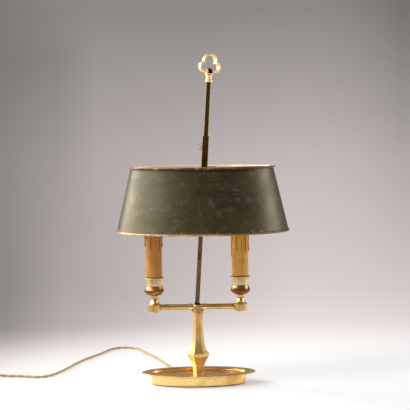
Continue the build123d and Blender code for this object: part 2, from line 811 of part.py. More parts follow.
def make_shade():
    shell = shade_cone(0) - shade_cone(shade_wall)
    inner = shade_cone(shade_wall)
    flat = bar(strap_width, shade_low_depth, strap_top - strap_thick, strap_top, strap_x)
    tabs = bar(strap_width, shade_low_depth, strap_top - strap_tab, strap_top, strap_x)
    strap = (flat & inner) + (tabs & (inner - shade_cone(shade_wall + strap_thick)))
    strap -= mast_axes.location * bar(slider_width, slider_width, slider_low, slider_top)
    rivets = Part()
    inside = -shade_wall - strap_thick
    for front in (-1, 1):
        for side in (-1, 1):
            axes = wall_axes(strap_x + side * rivet_spacing / 2, shade_top_z - rivet_below_top, front).location
            shank = axes * rod(rivet_shank / 2 - turning_gap, inside, 0)
            hole = axes * rod(rivet_shank / 2, inside - rivet_head_high, rivet_head_high)
            head = rod(rivet_head_radius, 0, rivet_head_high)
            head = chamfer(head.faces().sort_by(Axis.Z)[-1].edges(), rivet_head_high * 0.6)
            tail = Pos(0, 0, inside) * Rot(180, 0, 0) * head
            rivets += axes * head + shank + axes * tail
            shell -= hole
            strap -= hole
    low_bead = make_bead(
        (shade_low_length - shade_wall) / 2, (shade_low_depth - shade_wall) / 2, shade_low_z
    )
    top_bead = make_bead(
        shade_top_length / 2 + top_bead_out, shade_top_depth / 2 + top_bead_out, shade_top_z + top_bead_rise
    )
    parts["shade_shell"] = shell
    parts["shade_strap"] = strap
    parts["strap_rivets"] = rivets
    parts["shade_bottom_bead"] = low_bead - shell
    parts["shade_top_bead"] = top_bead - shell


def oval_of_arcs(half_length, half_depth, height):
    """An oval round the shade's axis, as smooth arcs: two from each step to the next."""
    steps = []
    for step in range(bead_steps + 1):
        turn = 2 * math.pi * step / bead_steps
        place = Vector(shade_x + half_length * math.cos(turn), half_depth * math.sin(turn), height)
        heading = Vector(-half_length * math.sin(turn), half_depth * math.cos(turn), 0).normalized()
        steps.append((place, heading))
    arcs = []
    for (start, first), (end, last) in zip(steps, steps[1:]):
        across = end - start
        along = across.dot(first + last)
        spread = 2 * (1 - first.dot(last))
        reach = (math.sqrt(along ** 2 + spread * across.dot(across)) - along) / spread
        middle = (start + end + (first - last) * reach) / 2
        arcs.append(TangentArc(start, middle, tangent=first))
        arcs.append(TangentArc(middle, end, tangent=arcs[-1] % 1))
    return Wire(arcs)


def make_bead(half_length, half_depth, height):
    path = oval_of_arcs(half_length, half_depth, height)
    return sweep(Plane(path @ 0, z_dir=path % 0) * Circle(bead_radius), path=path)


# Wiring inside the lamp

def make_wiring():
    hole = cord_diameter / 2 + inlet_bore_gap
    inner_end = -drum_wall - bushing_spigot_extra
    bushing = turned(Polyline(
        (hole, inner_end),
        (bushing_spigot_radius, inner_end),
        (bushing_spigot_radius, 0),
        (bushing_flange_radius, 0),
        (bushing_flange_radius, bushing_flange_thick),
        (bushing_sleeve_radius, bushing_flange_thick),
        (bushing_tip_radius, bushing_tip),
        (hole, bushing_tip),
        (hole, inner_end),
    ))
    parts["cord_bushing"] = inlet_axes.location * bushing
    parts["inlet_lead"] = inlet_axes.location * rod(cord_diameter / 2, -block_from_wall, bushing_tip)
    block_low = felt_thick + weight_lift
    block_middle = inlet_axes.from_local_coords(Vector(0, 0, -block_from_wall - block_long / 2))
    turn = math.degrees(math.atan2(inlet_slope.Y, inlet_slope.X))
    block = Pos(block_middle.X, block_middle.Y, block_low + block_high / 2) * Rot(0, 0, turn) * Box(
        block_long, block_wide, block_high
    )
    parts["terminal_block"] = block

    lead_z = felt_thick + lead_floor_gap + lead_diameter / 2
    block_end = -block_from_wall - block_long
    for side, name in ((-1, "left"), (1, "right")):
        y = side * lead_offset
        turn_z = block_end - lead_ahead + side * lead_spread
        start = inlet_axes.from_local_coords(Vector(0, side * lead_spread, block_end))
        ahead = inlet_axes.from_local_coords(Vector(0, side * lead_spread, turn_z))
        route = [
            (start.X, start.Y, lead_z),
            (ahead.X, ahead.Y, lead_z),
            (0, y, lead_z),
            (0, y, arm_z),
            (side * light_x, y, arm_z),
            (side * light_x, y, candle_seat + nipple_above_seat),
        ]
        bends = [lead_bend_base, lead_bend_base, lead_bend_hub, lead_bend_end]
        parts["lead_" + name] = tube_along(route, lead_diameter / 2, bends)


# Mains cord and the pieces on it

def make_cord():
    coil_wide = coil_turns_beside * cord_diameter
    coil_high = coil_turns_high * cord_diameter
    coil = rod(coil_radius + coil_wide / 2, 0, coil_high) - rod(coil_radius - coil_wide / 2, 0, coil_high)
    coil = chamfer(coil.edges().filter_by(GeomType.CIRCLE), coil_edge)
    coil = Pos(coil_x, coil_y, 0) * coil
    parts["cord_coil"] = coil
    for name, route in (("cord_run", cord_route), ("cord_tail", tail_route), ("cord_end", end_route)):
        radii = largest_bends(route)
        print(name, "bend radii", [round(radius, 1) for radius in radii])
        parts[name] = tube_along(route, cord_diameter / 2, radii) - coil


def make_switch():
    middle_x = switch_x - switch_long / 2
    pivot_z = switch_high - rocker_pivot_drop
    body = Pos(middle_x, switch_y, switch_high / 2) * Box(switch_long, switch_wide, switch_high)
    body = fillet(body.edges().filter_by(Axis.Z), switch_round)
    body = fillet(body.faces().sort_by(Axis.Z)[-1].edges(), switch_round / 2)
    pocket_long = rocker_long + 2 * rocker_gap
    pocket_wide = rocker_wide + 2 * rocker_side_gap
    body -= bar(pocket_long, pocket_wide, pivot_z - rocker_pocket_under, switch_high, middle_x, switch_y)
    pin_reach = rocker_wide / 2 + rocker_pin_long
    body -= Pos(middle_x, switch_y, pivot_z) * Rot(90, 0, 0) * Cylinder(
        rocker_pin_radius + turning_gap, 2 * (pin_reach + loose_gap)
    )
    parts["switch_body"] = body

    half = rocker_long / 2
    side_view = make_face(Polyline(
        (-half, rocker_end_high), (0, rocker_dip_high), (half, rocker_end_high),
        (half - 1, -rocker_under), (1 - half, -rocker_under), (-half, rocker_end_high),
    ))
    rocker = extrude(Plane.XZ * side_view, rocker_wide / 2, both=True)
    rocker += Rot(90, 0, 0) * Cylinder(rocker_pin_radius, 2 * pin_reach)
    parts["switch_rocker"] = Pos(middle_x, switch_y, pivot_z) * Rot(0, rocker_tilt, 0) * rocker


def make_plug():
    half_neck = plug_neck / 2
    half_wide = plug_wide / 2
    shoulder = plug_long * 0.55
    outline = Polyline(
        (0, -half_neck), (shoulder, -half_wide), (plug_long, -half_wide),
        (plug_long, half_wide), (shoulder, half_wide), (0, half_neck), (0, -half_neck),
    )
    body = extrude(make_face(outline), plug_thick)
    body = fillet(body.faces().filter_by(Axis.Z).edges(), plug_round)
    parts["plug_body"] = Pos(plug_back_x, plug_y, 0) * body
    pins = Part()
    for side in (-1, 1):
        pin = rod(plug_pin_radius, 0, plug_pin_long)
        pin = chamfer(pin.faces().sort_by(Axis.Z)[-1].edges(), plug_pin_radius * 0.6)
        pins += Pos(plug_back_x + plug_long, plug_y + side * plug_pin_spacing / 2, plug_z) * Rot(0, 90, 0) * pin
    parts["plug_pins"] = pins


make_base()
make_weight()
make_tie()
make_column()
make_hub()
for side, name, drips in ((-1, "left", drips_left), (1, "right", drips_right)):
    make_arm(side, name)
    make_end_hub(side, name)
    make_stem(side, name)
    make_cup(side, name)
    make_sleeve(side, name, drips)
    make_light(side, name)
make_mast()
make_finial()
make_slider()
make_lever()
make_shade()
make_wiring()
make_cord()
make_switch()
make_plug()

os.makedirs("parts", exist_ok=True)
for name, shape in parts.items():
    export_step(shape, "parts/" + name + ".step")
print("wrote", len(parts), "parts; slider travel", round(-travel_down, 2), "to", round(travel_up, 2))
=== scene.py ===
import json
import math

import bmesh
import bpy
from mathutils import Matrix, Vector


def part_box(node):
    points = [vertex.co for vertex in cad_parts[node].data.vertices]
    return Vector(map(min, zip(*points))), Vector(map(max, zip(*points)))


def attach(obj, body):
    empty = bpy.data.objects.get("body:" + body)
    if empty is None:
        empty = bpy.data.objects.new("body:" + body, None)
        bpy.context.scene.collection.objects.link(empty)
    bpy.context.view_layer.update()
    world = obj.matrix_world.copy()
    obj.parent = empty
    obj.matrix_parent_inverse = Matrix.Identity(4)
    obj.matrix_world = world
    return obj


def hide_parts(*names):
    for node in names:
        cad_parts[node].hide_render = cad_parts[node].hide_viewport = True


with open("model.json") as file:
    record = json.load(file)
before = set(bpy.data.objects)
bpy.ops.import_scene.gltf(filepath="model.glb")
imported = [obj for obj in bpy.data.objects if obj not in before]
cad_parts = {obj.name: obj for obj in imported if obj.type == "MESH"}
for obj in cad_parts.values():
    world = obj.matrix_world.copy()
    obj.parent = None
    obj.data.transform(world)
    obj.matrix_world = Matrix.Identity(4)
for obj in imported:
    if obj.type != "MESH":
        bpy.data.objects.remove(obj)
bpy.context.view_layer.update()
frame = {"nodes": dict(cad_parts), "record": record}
nodes = frame["nodes"]
scene = bpy.context.scene
scene.view_settings.view_transform = "Standard"


cameraSetup = {
    "place": (0.0141, -1.860, 0.3972),
    "pitchDown": 3.519,
    "roll": 0.8906,
    "lens": 104.08,
    "sensor": 36.0,
    "clip": (0.05, 60),
}


def makeCamera():
    data = bpy.data.cameras.new("camera")
    data.lens = cameraSetup["lens"]
    data.sensor_width = cameraSetup["sensor"]
    data.clip_start, data.clip_end = cameraSetup["clip"]
    camera = bpy.data.objects.new("camera", data)
    scene.collection.objects.link(camera)
    pitch = math.radians(cameraSetup["pitchDown"])
    roll = -math.radians(cameraSetup["roll"])
    forward = Vector((0, math.cos(pitch), -math.sin(pitch)))
    right = Vector((1, 0, 0))
    up = right.cross(forward)
    turnedRight = right * math.cos(roll) + up * math.sin(roll)
    turnedUp = up * math.cos(roll) - right * math.sin(roll)
    place = cameraSetup["place"]
    camera.matrix_world = Matrix((
        (turnedRight.x, turnedUp.x, -forward.x, place[0]),
        (turnedRight.y, turnedUp.y, -forward.y, place[1]),
        (turnedRight.z, turnedUp.z, -forward.z, place[2]),
        (0, 0, 0, 1),
    ))
    scene.camera = camera


makeCamera()
print("camera made")


# Mesh helpers

def addPiece(name, mesh, slot, standsFor=()):
    for face in mesh.polygons:
        face.use_smooth = True
    mesh.materials.append(materials[slot])
    piece = bpy.data.objects.new(name, mesh)
    scene.collection.objects.link(piece)
    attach(piece, "stand")
    if standsFor:
        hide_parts(*standsFor)
    return piece


def gridMesh(rings, capEnds=False, joinEnds=False):
    # rings are closed lists of points, all of one length
    mesh = bpy.data.meshes.new("rings")
    count = len(rings[0])
    points = [point for ring in rings for point in ring]
    faces = []
    ringPairs = [(index, index + 1) for index in range(len(rings) - 1)]
    if joinEnds:
        ringPairs.append((len(rings) - 1, 0))
    for low, high in ringPairs:
        for step in range(count):
            nextStep = (step + 1) % count
            faces.append((
                low * count + step, low * count + nextStep,
                high * count + nextStep, high * count + step,
            ))
    if capEnds:
        faces.append(tuple(reversed(range(count))))
        faces.append(tuple(range((len(rings) - 1) * count, len(rings) * count)))
    mesh.from_pydata(points, [], faces)
    return mesh


def joinedMesh(name, *meshes):
    # one mesh from single ones, which are cleared away, with its faces turned outward
    work = bmesh.new()
    for mesh in meshes:
        work.from_mesh(mesh)
        bpy.data.meshes.remove(mesh)
    bmesh.ops.recalc_face_normals(work, faces=work.faces)
    mesh = bpy.data.meshes.new(name)
    work.to_mesh(mesh)
    work.free()
    return mesh


def roundSteps(count):
    # cosine and sine at even steps round a circle
    angles = [2 * math.pi * step / count for step in range(count)]
    return [(math.cos(angle), math.sin(angle)) for angle in angles]


def outAndAlong(turn):
    # level directions away from the middle and round it
    return Vector((math.cos(turn), math.sin(turn), 0)), Vector((-math.sin(turn), math.cos(turn), 0))


def neighbours(points, index):
    return points[max(index - 1, 0)], points[min(index + 1, len(points) - 1)]


def tubeRing(middle, out, side, radius, count):
    return [middle + (out * first + side * second) * radius for first, second in roundSteps(count)]


def latheRings(outline, count, middleX):
    # an outline of radius and height, turned about an upright axis
    steps = roundSteps(count)
    return [
        [(middleX + radius * first, radius * second, height) for first, second in steps]
        for radius, height in outline
    ]


# The cord: one line from the bushing through the switch and the coil to the plug

cordSetup = {
    "length": 1.80,
    "diameter": 0.005,
    "strandRadius": 0.00132,
    "strandFromMiddle": 0.00118,
    "twistPitch": 0.0285,
    "strandSides": 10,
    "ringSpacing": 0.0016,
    "exit": (-0.0343, 0.0522, 0.0072),
    "coilMiddle": (-0.435, 0.015),
    "coilTurns": [(0.0325, 0.0025), (0.0275, 0.0025), (0.0225, 0.0025),
                  (0.0235, 0.0075), (0.0290, 0.0075)],
    "lastTurn": (0.0325, 0.0075),
    "laidAt": 0.0025,
    "pointsPerTurn": 16,
    "turnsLeftOut": 0.75,
    "riseFrom": 0.6,
    "carries": ("plug_body", "plug_pins", "switch_body", "switch_rocker"),
    "lineOrder": 3,
    "lineSteps": 12,
}


def onTable(*places):
    return [(x, y, cordSetup["laidAt"]) for x, y in places]


# from the bushing over the table to the switch, from the switch to the coil, and into the plug
runPoints = [
    cordSetup["exit"], (-0.0383, 0.0677, 0.0072), (-0.0396, 0.0865, 0.0044),
    *onTable(
        (-0.0430, 0.1080), (-0.0530, 0.1330), (-0.0620, 0.1620), (-0.0720, 0.1920), (-0.0850, 0.2290),
        (-0.1040, 0.2710), (-0.1140, 0.3010), (-0.1360, 0.3120), (-0.1580, 0.3020), (-0.1690, 0.2740),
        (-0.1790, 0.2450), (-0.1920, 0.2170), (-0.2040, 0.1880), (-0.2140, 0.1550), (-0.2220, 0.1210),
        (-0.2330, 0.0860), (-0.2430, 0.0620), (-0.2620, 0.0530), (-0.2820, 0.0620), (-0.3040, 0.0660),
    ),
    (-0.3220, 0.0669, 0.0030), (-0.3390, 0.0673, 0.0060), (-0.3520, 0.0673, 0.0060),
]
tailPoints = [
    (-0.4100, 0.0673, 0.0060), (-0.4240, 0.0673, 0.0060), (-0.4400, 0.0630, 0.0030),
    *onTable((-0.4550, 0.0520), (-0.4650, 0.0350)),
]
endPoints = [
    (-0.4180, -0.0173, 0.0070), (-0.4080, -0.0163, 0.0065), (-0.4000, -0.0155, 0.0067),
    (-0.3920, -0.0155, 0.00685),
]


def coilPoints():
    # each turn moves to the radius and height of the next one near its end
    points = []
    turns = cordSetup["coilTurns"] + [cordSetup["lastTurn"]]
    perTurn = cordSetup["pointsPerTurn"]
    total = int(perTurn * (len(turns) - cordSetup["turnsLeftOut"])) + 1
    riseFrom = cordSetup["riseFrom"]
    middle = cordSetup["coilMiddle"]
    for step in range(total):
        turn, share = divmod(step, perTurn)
        here = turns[min(turn, len(turns) - 1)]
        after = turns[min(turn + 1, len(turns) - 1)]
        change = max(0.0, (share / perTurn - riseFrom) / (1 - riseFrom))
        radius = here[0] + (after[0] - here[0]) * change
        height = here[1] + (after[1] - here[1]) * change
        angle = math.pi + 2 * math.pi * step / perTurn
        radius = radius / math.cos(math.pi / perTurn)
        points.append((middle[0] + radius * math.cos(angle), middle[1] + radius * math.sin(angle), height))
    return points


def nurbsLine(name, points):
    curve = bpy.data.curves.new(name, "CURVE")
    curve.dimensions = "3D"
    curve.resolution_u = cordSetup["lineSteps"]
    spline = curve.splines.new("NURBS")
    spline.points.add(len(points) - 1)
    for control, point in zip(spline.points, points):
        control.co = (*point, 1)
    spline.order_u = cordSetup["lineOrder"]
    spline.use_endpoint_u = True
    holder = bpy.data.objects.new(name, curve)
    mesh = bpy.data.meshes.new_from_object(holder)
    line = [Vector(vertex.co) for vertex in mesh.vertices]
    bpy.data.meshes.remove(mesh)
    bpy.data.objects.remove(holder)
    bpy.data.curves.remove(curve)
    return line


def evenLine(line, spacing):
    # the same line with its points at even steps, and its length
    lengths = [0.0]
    for before, after in zip(line, line[1:]):
        lengths.append(lengths[-1] + (after - before).length)
    count = max(2, round(lengths[-1] / spacing) + 1)
    points = []
    index = 0
    for step in range(count):
        reach = lengths[-1] * step / (count - 1)
        while index < len(line) - 2 and lengths[index + 1] < reach:
            index += 1
        share = (reach - lengths[index]) / max(lengths[index + 1] - lengths[index], 1e-9)
        points.append(line[index].lerp(line[index + 1], min(share, 1.0)))
    return points, lengths[-1]


def carriedAxes(points):
    # side vectors that turn as little as they can along the line
    sides = []
    side = Vector((0, 0, 1))
    for index in range(len(points)):
        before, after = neighbours(points, index)
        forward = (after - before).normalized()
        side = (side - forward * side.dot(forward)).normalized()
        sides.append((forward, side.copy()))
    return sides


tieSetup = {
    "angle": 55.0,
    "width": 0.0062,
    "thickness": 0.0008,
    "reach": (0.0197, 0.0353),
    "rise": (0.0004, 0.0106),
    "corner": 0.0030,
    "steps": 6,
    "section": [(-1.0, -0.6), (-0.96, 1.0), (0.0, 1.15), (0.96, 1.0), (1.0, -0.6), (0.0, -1.0)],
    "lowest": 0.00005,
}


def makeTie():
    # a flat band round all the turns of the coil
    inner, outer = tieSetup["reach"]
    low, high = tieSetup["rise"]
    corner = tieSetup["corner"]
    route = []
    for centre, start in (
        ((outer - corner, high - corner), 0), ((inner + corner, high - corner), 90),
        ((inner + corner, low + corner), 180), ((outer - corner, low + corner), 270),
    ):
        for step in range(tieSetup["steps"] + 1):
            angle = math.radians(start + 90 * step / tieSetup["steps"])
            route.append((centre[0] + corner * math.cos(angle), centre[1] + corner * math.sin(angle), angle))
    middle = cordSetup["coilMiddle"]
    outward, sideways = outAndAlong(math.radians(tieSetup["angle"]))
    half = tieSetup["width"] / 2
    thick = tieSetup["thickness"] / 2
    rings = []
    for reach, rise, angle in route:
        ring = []
        for across, out in tieSetup["section"]:
            place = Vector((middle[0], middle[1], 0)) + outward * (reach + thick * out * math.cos(angle))
            place += sideways * half * across + Vector((0, 0, rise + thick * out * math.sin(angle)))
            place.z = max(place.z, tieSetup["lowest"])
            ring.append(tuple(place))
        rings.append(ring)
    return addPiece("coil_tie", joinedMesh("coil_tie", gridMesh(rings, joinEnds=True)), "rocker_brown")


def makeCord(tie):
    # two strands wound round the line, with the length along and the turn around each as its UV map
    line = nurbsLine("cordLine", runPoints + tailPoints + coilPoints() + endPoints)
    points, length = evenLine(line, cordSetup["ringSpacing"])
    axes = carriedAxes(points)
    mesh = bpy.data.meshes.new("cord")
    work = bmesh.new()
    strandUv = work.loops.layers.uv.new("strand")
    sides = cordSetup["strandSides"]
    spacing = length / (len(points) - 1)
    for strand in range(2):
        rings = []
        for index, (point, (forward, side)) in enumerate(zip(points, axes)):
            other = forward.cross(side)
            turn = 2 * math.pi * index * spacing / cordSetup["twistPitch"] + math.pi * strand
            out = side * math.cos(turn) + other * math.sin(turn)
            middle = point + out * cordSetup["strandFromMiddle"]
            ring = tubeRing(middle, out, forward.cross(out), cordSetup["strandRadius"], sides)
            rings.append([work.verts.new(place) for place in ring])
        for index in range(len(rings) - 1):
            for step in range(sides):
                follow = (step + 1) % sides
                low, high = rings[index], rings[index + 1]
                face = work.faces.new((low[step], low[follow], high[follow], high[step]))
                corners = ((index, step), (index, step + 1), (index + 1, step + 1), (index + 1, step))
                for loop, (along, around) in zip(face.loops, corners):
                    loop[strandUv].uv = (along * spacing, around / sides)
        work.faces.new(list(reversed(rings[0])))
        work.faces.new(rings[-1])
    bmesh.ops.recalc_face_normals(work, faces=work.faces)
    work.to_mesh(mesh)
    work.free()
    piece = addPiece("cord_twisted", mesh, "gold_cord", ("cord_run", "cord_tail", "cord_end", "cord_coil"))
    print("cord length", round(length, 3))


# Material helpers

def paint(red, green, blue):
    # a screen colour from 0 to 255 as the renderer's own
    def single(value):
        value = value / 255
        return value / 12.92 if value <= 0.04045 else ((value + 0.055) / 1.055) ** 2.4
    return (single(red), single(green), single(blue), 1.0)


def joinSocket(tree, value, socket):
    if isinstance(value, bpy.types.NodeSocket):
        tree.links.new(value, socket)
    else:
        socket.default_value = value


def addNode(tree, kind, **values):
    node = tree.nodes.new("ShaderNode" + kind)
    for name, value in values.items():
        joinSocket(tree, value, node.inputs[name])
    return node


def noiseAt(tree, vector, scale, detail=4.0, rough=0.5):
    node = addNode(tree, "TexNoise", Vector=vector, Scale=scale, Detail=detail, Roughness=rough)
    return node.outputs["Fac"]


def spread(tree, value, low, high, toLow=0.0, toHigh=1.0):
    return addNode(tree, "MapRange", Value=value, **{
        "From Min": low, "From Max": high, "To Min": toLow, "To Max": toHigh,
    }).outputs["Result"]


def noiseMask(tree, vector, noise, bounds):
    # noise is scale, detail and roughness, and bounds are the values that spread takes
    return spread(tree, noiseAt(tree, vector, *noise), *bounds)


def sums(tree, operation, first, second=0.0, third=0.0):
    node = addNode(tree, "Math")
    node.operation = operation
    for value, socket in zip((first, second, third), node.inputs):
        joinSocket(tree, value, socket)
    return node.outputs["Value"]


def times(tree, first, second):
    return sums(tree, "MULTIPLY", first, second)


def addedUp(tree, start, *marks):
    # a value plus each mark times its share
    for mark, share in marks:
        start = sums(tree, "MULTIPLY_ADD", mark, share, start)
    return start


def highest(tree, first, *others):
    for other in others:
        first = sums(tree, "MAXIMUM", first, other)
    return first


def vectorSums(tree, operation, first, second, output="Vector"):
    node = addNode(tree, "VectorMath")
    node.operation = operation
    joinSocket(tree, first, node.inputs[0])
    joinSocket(tree, second, node.inputs[1])
    return node.outputs[output]


def stretched(tree, vector, scale):
    return vectorSums(tree, "MULTIPLY", vector, scale)


def splitAxes(tree, vector):
    return addNode(tree, "SeparateXYZ", Vector=vector).outputs


def mixed(tree, share, first, second, blend="MIX"):
    node = addNode(tree, "Mix")
    node.data_type = "RGBA"
    node.blend_type = blend
    joinSocket(tree, share, node.inputs[0])
    joinSocket(tree, first, node.inputs[6])
    joinSocket(tree, second, node.inputs[7])
    return node.outputs[2]


def ramped(tree, value, stops):
    node = addNode(tree, "ValToRGB", Fac=value)
    ramp = node.color_ramp
    while len(ramp.elements) < len(stops):
        ramp.elements.new(0.5)
    for element, (place, colour) in zip(ramp.elements, stops):
        element.position = place
        element.color = colour
    return node.outputs["Color"]


def objectPlace(tree):
    return addNode(tree, "TexCoord").outputs["Object"]


def objectNormal(tree):
    return addNode(tree, "TexCoord").outputs["Normal"]


def newGroup(name, inputs, outputs):
    tree = bpy.data.node_groups.new(name, "ShaderNodeTree")
    for label, kind, value in inputs:
        socket = tree.interface.new_socket(label, in_out="INPUT", socket_type=kind)
        socket.default_value = value
    for label, kind in outputs:
        tree.interface.new_socket(label, in_out="OUTPUT", socket_type=kind)
    return tree, tree.nodes.new("NodeGroupInput").outputs, tree.nodes.new("NodeGroupOutput").inputs


def placeGroup(tree, group, **values):
    node = addNode(tree, "Group")
    node.node_tree = group
    for name, value in values.items():
        joinSocket(tree, value, node.inputs[name])
    return node.outputs


materials = {}


def newMaterial(name, **values):
    material = bpy.data.materials.new(name)
    material.use_nodes = True
    materials[name] = material
    socket = material.node_tree.nodes["Principled BSDF"].inputs
    for label, value in values.items():
        socket[label].default_value = value
    return material.node_tree, socket


def joinFinish(tree, socket, colour, roughness, height, depth, strength):
    # depth is how far the height stands out, in metres
    bump = addNode(tree, "Bump", Strength=strength, Distance=depth, Height=height)
    joinSocket(tree, colour, socket["Base Color"])
    joinSocket(tree, roughness, socket["Roughness"])
    joinSocket(tree, bump.outputs["Normal"], socket["Normal"])


# Shared effects

effectSetup = {
    "cloudNoise": (5.0, 0.62),
    "cloudLimit": 0.72,
    "cloudDrop": 0.3,
    "cloudSoft": 0.16,
    "spotFiner": 11.0,
    "spotNoise": (3.0, 0.6),
    "spotBounds": (0.64, 0.70),
    "lineNoise": (1.0, 2.0, 0.5),
    "bevelSamples": 4,
    "edgeBounds": (0.995, 0.90),
    "edgeBreaks": (0.38, 0.58),
    "hollowSamples": 6,
    "hollowBounds": (0.92, 0.45),
    "hollowBreaks": (0.25, 0.6, 0.55, 1.0),
    "breakNoise": (4.0, 0.6),
}


def makeTarnishGroup():
    tree, given, out = newGroup(
        "tarnish",
        [("Size", "NodeSocketFloat", 30.0), ("Amount", "NodeSocketFloat", 0.5)],
        [("Cloud", "NodeSocketFloat"), ("Spots", "NodeSocketFloat")],
    )
    place = objectPlace(tree)
    cloud = noiseAt(tree, place, given["Size"], *effectSetup["cloudNoise"])
    drop = times(tree, given["Amount"], effectSetup["cloudDrop"])
    low = sums(tree, "SUBTRACT", effectSetup["cloudLimit"], drop)
    high = sums(tree, "ADD", low, effectSetup["cloudSoft"])
    joinSocket(tree, spread(tree, cloud, low, high), out["Cloud"])
    size = times(tree, given["Size"], effectSetup["spotFiner"])
    fine = noiseAt(tree, place, size, *effectSetup["spotNoise"])
    joinSocket(tree, spread(tree, fine, *effectSetup["spotBounds"]), out["Spots"])
    return tree


def makeHairlineGroup():
    tree, given, out = newGroup(
        "hairlines",
        [("Across", "NodeSocketVector", (900.0, 900.0, 40.0))],
        [("Lines", "NodeSocketFloat")],
    )
    fine = stretched(tree, objectPlace(tree), given["Across"])
    joinSocket(tree, noiseAt(tree, fine, *effectSetup["lineNoise"]), out["Lines"])
    return tree


def makeWornEdgeGroup():
    tree, given, out = newGroup(
        "wornEdges",
        [("Width", "NodeSocketFloat", 0.0008), ("Breakup", "NodeSocketFloat", 300.0)],
        [("Edge", "NodeSocketFloat")],
    )
    bevel = addNode(tree, "Bevel", Radius=given["Width"])
    bevel.samples = effectSetup["bevelSamples"]
    flat = addNode(tree, "NewGeometry").outputs["Normal"]
    same = vectorSums(tree, "DOT_PRODUCT", bevel.outputs["Normal"], flat, "Value")
    edge = spread(tree, same, *effectSetup["edgeBounds"])
    breaks = noiseAt(tree, objectPlace(tree), given["Breakup"], *effectSetup["breakNoise"])
    joinSocket(tree, times(tree, edge, spread(tree, breaks, *effectSetup["edgeBreaks"])), out["Edge"])
    return tree


def makeCreviceGroup():
    tree, given, out = newGroup(
        "crevices",
        [("Reach", "NodeSocketFloat", 0.005), ("Breakup", "NodeSocketFloat", 180.0)],
        [("DirtAndShade", "NodeSocketFloat")],
    )
    # painted shade: ambient occlusion marks the hollows and the gaps between parts, where shade falls
    hollow = addNode(tree, "AmbientOcclusion", Distance=given["Reach"])
    hollow.samples = effectSetup["hollowSamples"]
    depth = spread(tree, hollow.outputs["AO"], *effectSetup["hollowBounds"])
    breaks = noiseAt(tree, objectPlace(tree), given["Breakup"], *effectSetup["breakNoise"])
    joinSocket(tree, times(tree, depth, spread(tree, breaks, *effectSetup["hollowBreaks"])), out["DirtAndShade"])
    return tree


tarnish = makeTarnishGroup()
crevices = makeCreviceGroup()
hairlines = makeHairlineGroup()
wornEdges = makeWornEdgeGroup()
print("shared effects made")


def cloudsAt(tree, size, amount):
    return placeGroup(tree, tarnish, Size=size, Amount=amount)["Cloud"]


# Metals, with their tones as screen colours

brassSetup = {
    "clean": (252, 212, 138),
    "warm": (236, 182, 100),
    "stain": (160, 108, 52),
    "grimeAndShade": (84, 56, 26),
    "worn": None,
    "lowPart": None,
    "roughness": 0.18,
    "cloudSize": 24.0,
    "amount": 0.5,
    "lines": (500.0, 500.0, 500.0),
    "spots": 0.5,
    "shadeAndSoil": 0.8,
    "relief": 0.35,
}
metalSetup = {
    "cloudShare": 0.7,
    "edgeShare": 0.9,
    "edgeWidth": 0.0007,
    "cloudRough": 0.12,
    "spotRough": 0.4,
    "dirtRough": 0.25,
    "lineRough": 0.1,
    "waveNoise": (45.0, 1.0, 0.4),
    "waveShare": 6.0,
    "bumpDepth": 0.00003,
}


def makeMetal(
    name, clean, warm, stain, grimeAndShade, worn, lowPart, roughness, cloudSize, amount, lines, spots, shadeAndSoil, relief,
):
    clean, warm, stain, grimeAndShade = (paint(*tone) for tone in (clean, warm, stain, grimeAndShade))
    tree, socket = newMaterial(name, Metallic=1.0)
    place = objectPlace(tree)
    marks = placeGroup(tree, tarnish, Size=cloudSize, Amount=amount)
    scratches = placeGroup(tree, hairlines, Across=lines)["Lines"]
    dirtAndShade = placeGroup(tree, crevices)["DirtAndShade"]
    if lowPart is not None:
        # another tone below, with the two heights between which it changes
        low, high, tone = lowPart
        clean = mixed(tree, spread(tree, splitAxes(tree, place)["Z"], low, high), paint(*tone), clean)
    colour = mixed(tree, times(tree, marks["Cloud"], metalSetup["cloudShare"]), clean, warm)
    colour = mixed(tree, times(tree, marks["Spots"], spots), colour, stain)
    # grime and painted shade: a dark tone laid into hollows and between parts
    colour = mixed(tree, times(tree, dirtAndShade, shadeAndSoil), colour, grimeAndShade)
    if worn is not None:
        edge = placeGroup(tree, wornEdges, Width=metalSetup["edgeWidth"])["Edge"]
        colour = mixed(tree, times(tree, edge, metalSetup["edgeShare"]), colour, paint(*worn))
    roughness = addedUp(
        tree, roughness, (marks["Cloud"], metalSetup["cloudRough"]),
        (marks["Spots"], metalSetup["spotRough"] * spots), (dirtAndShade, metalSetup["dirtRough"]),
        (scratches, metalSetup["lineRough"]),
    )
    wave = noiseAt(tree, place, *metalSetup["waveNoise"])
    height = addedUp(tree, scratches, (wave, metalSetup["waveShare"]))
    joinFinish(tree, socket, colour, roughness, height, metalSetup["bumpDepth"], relief)


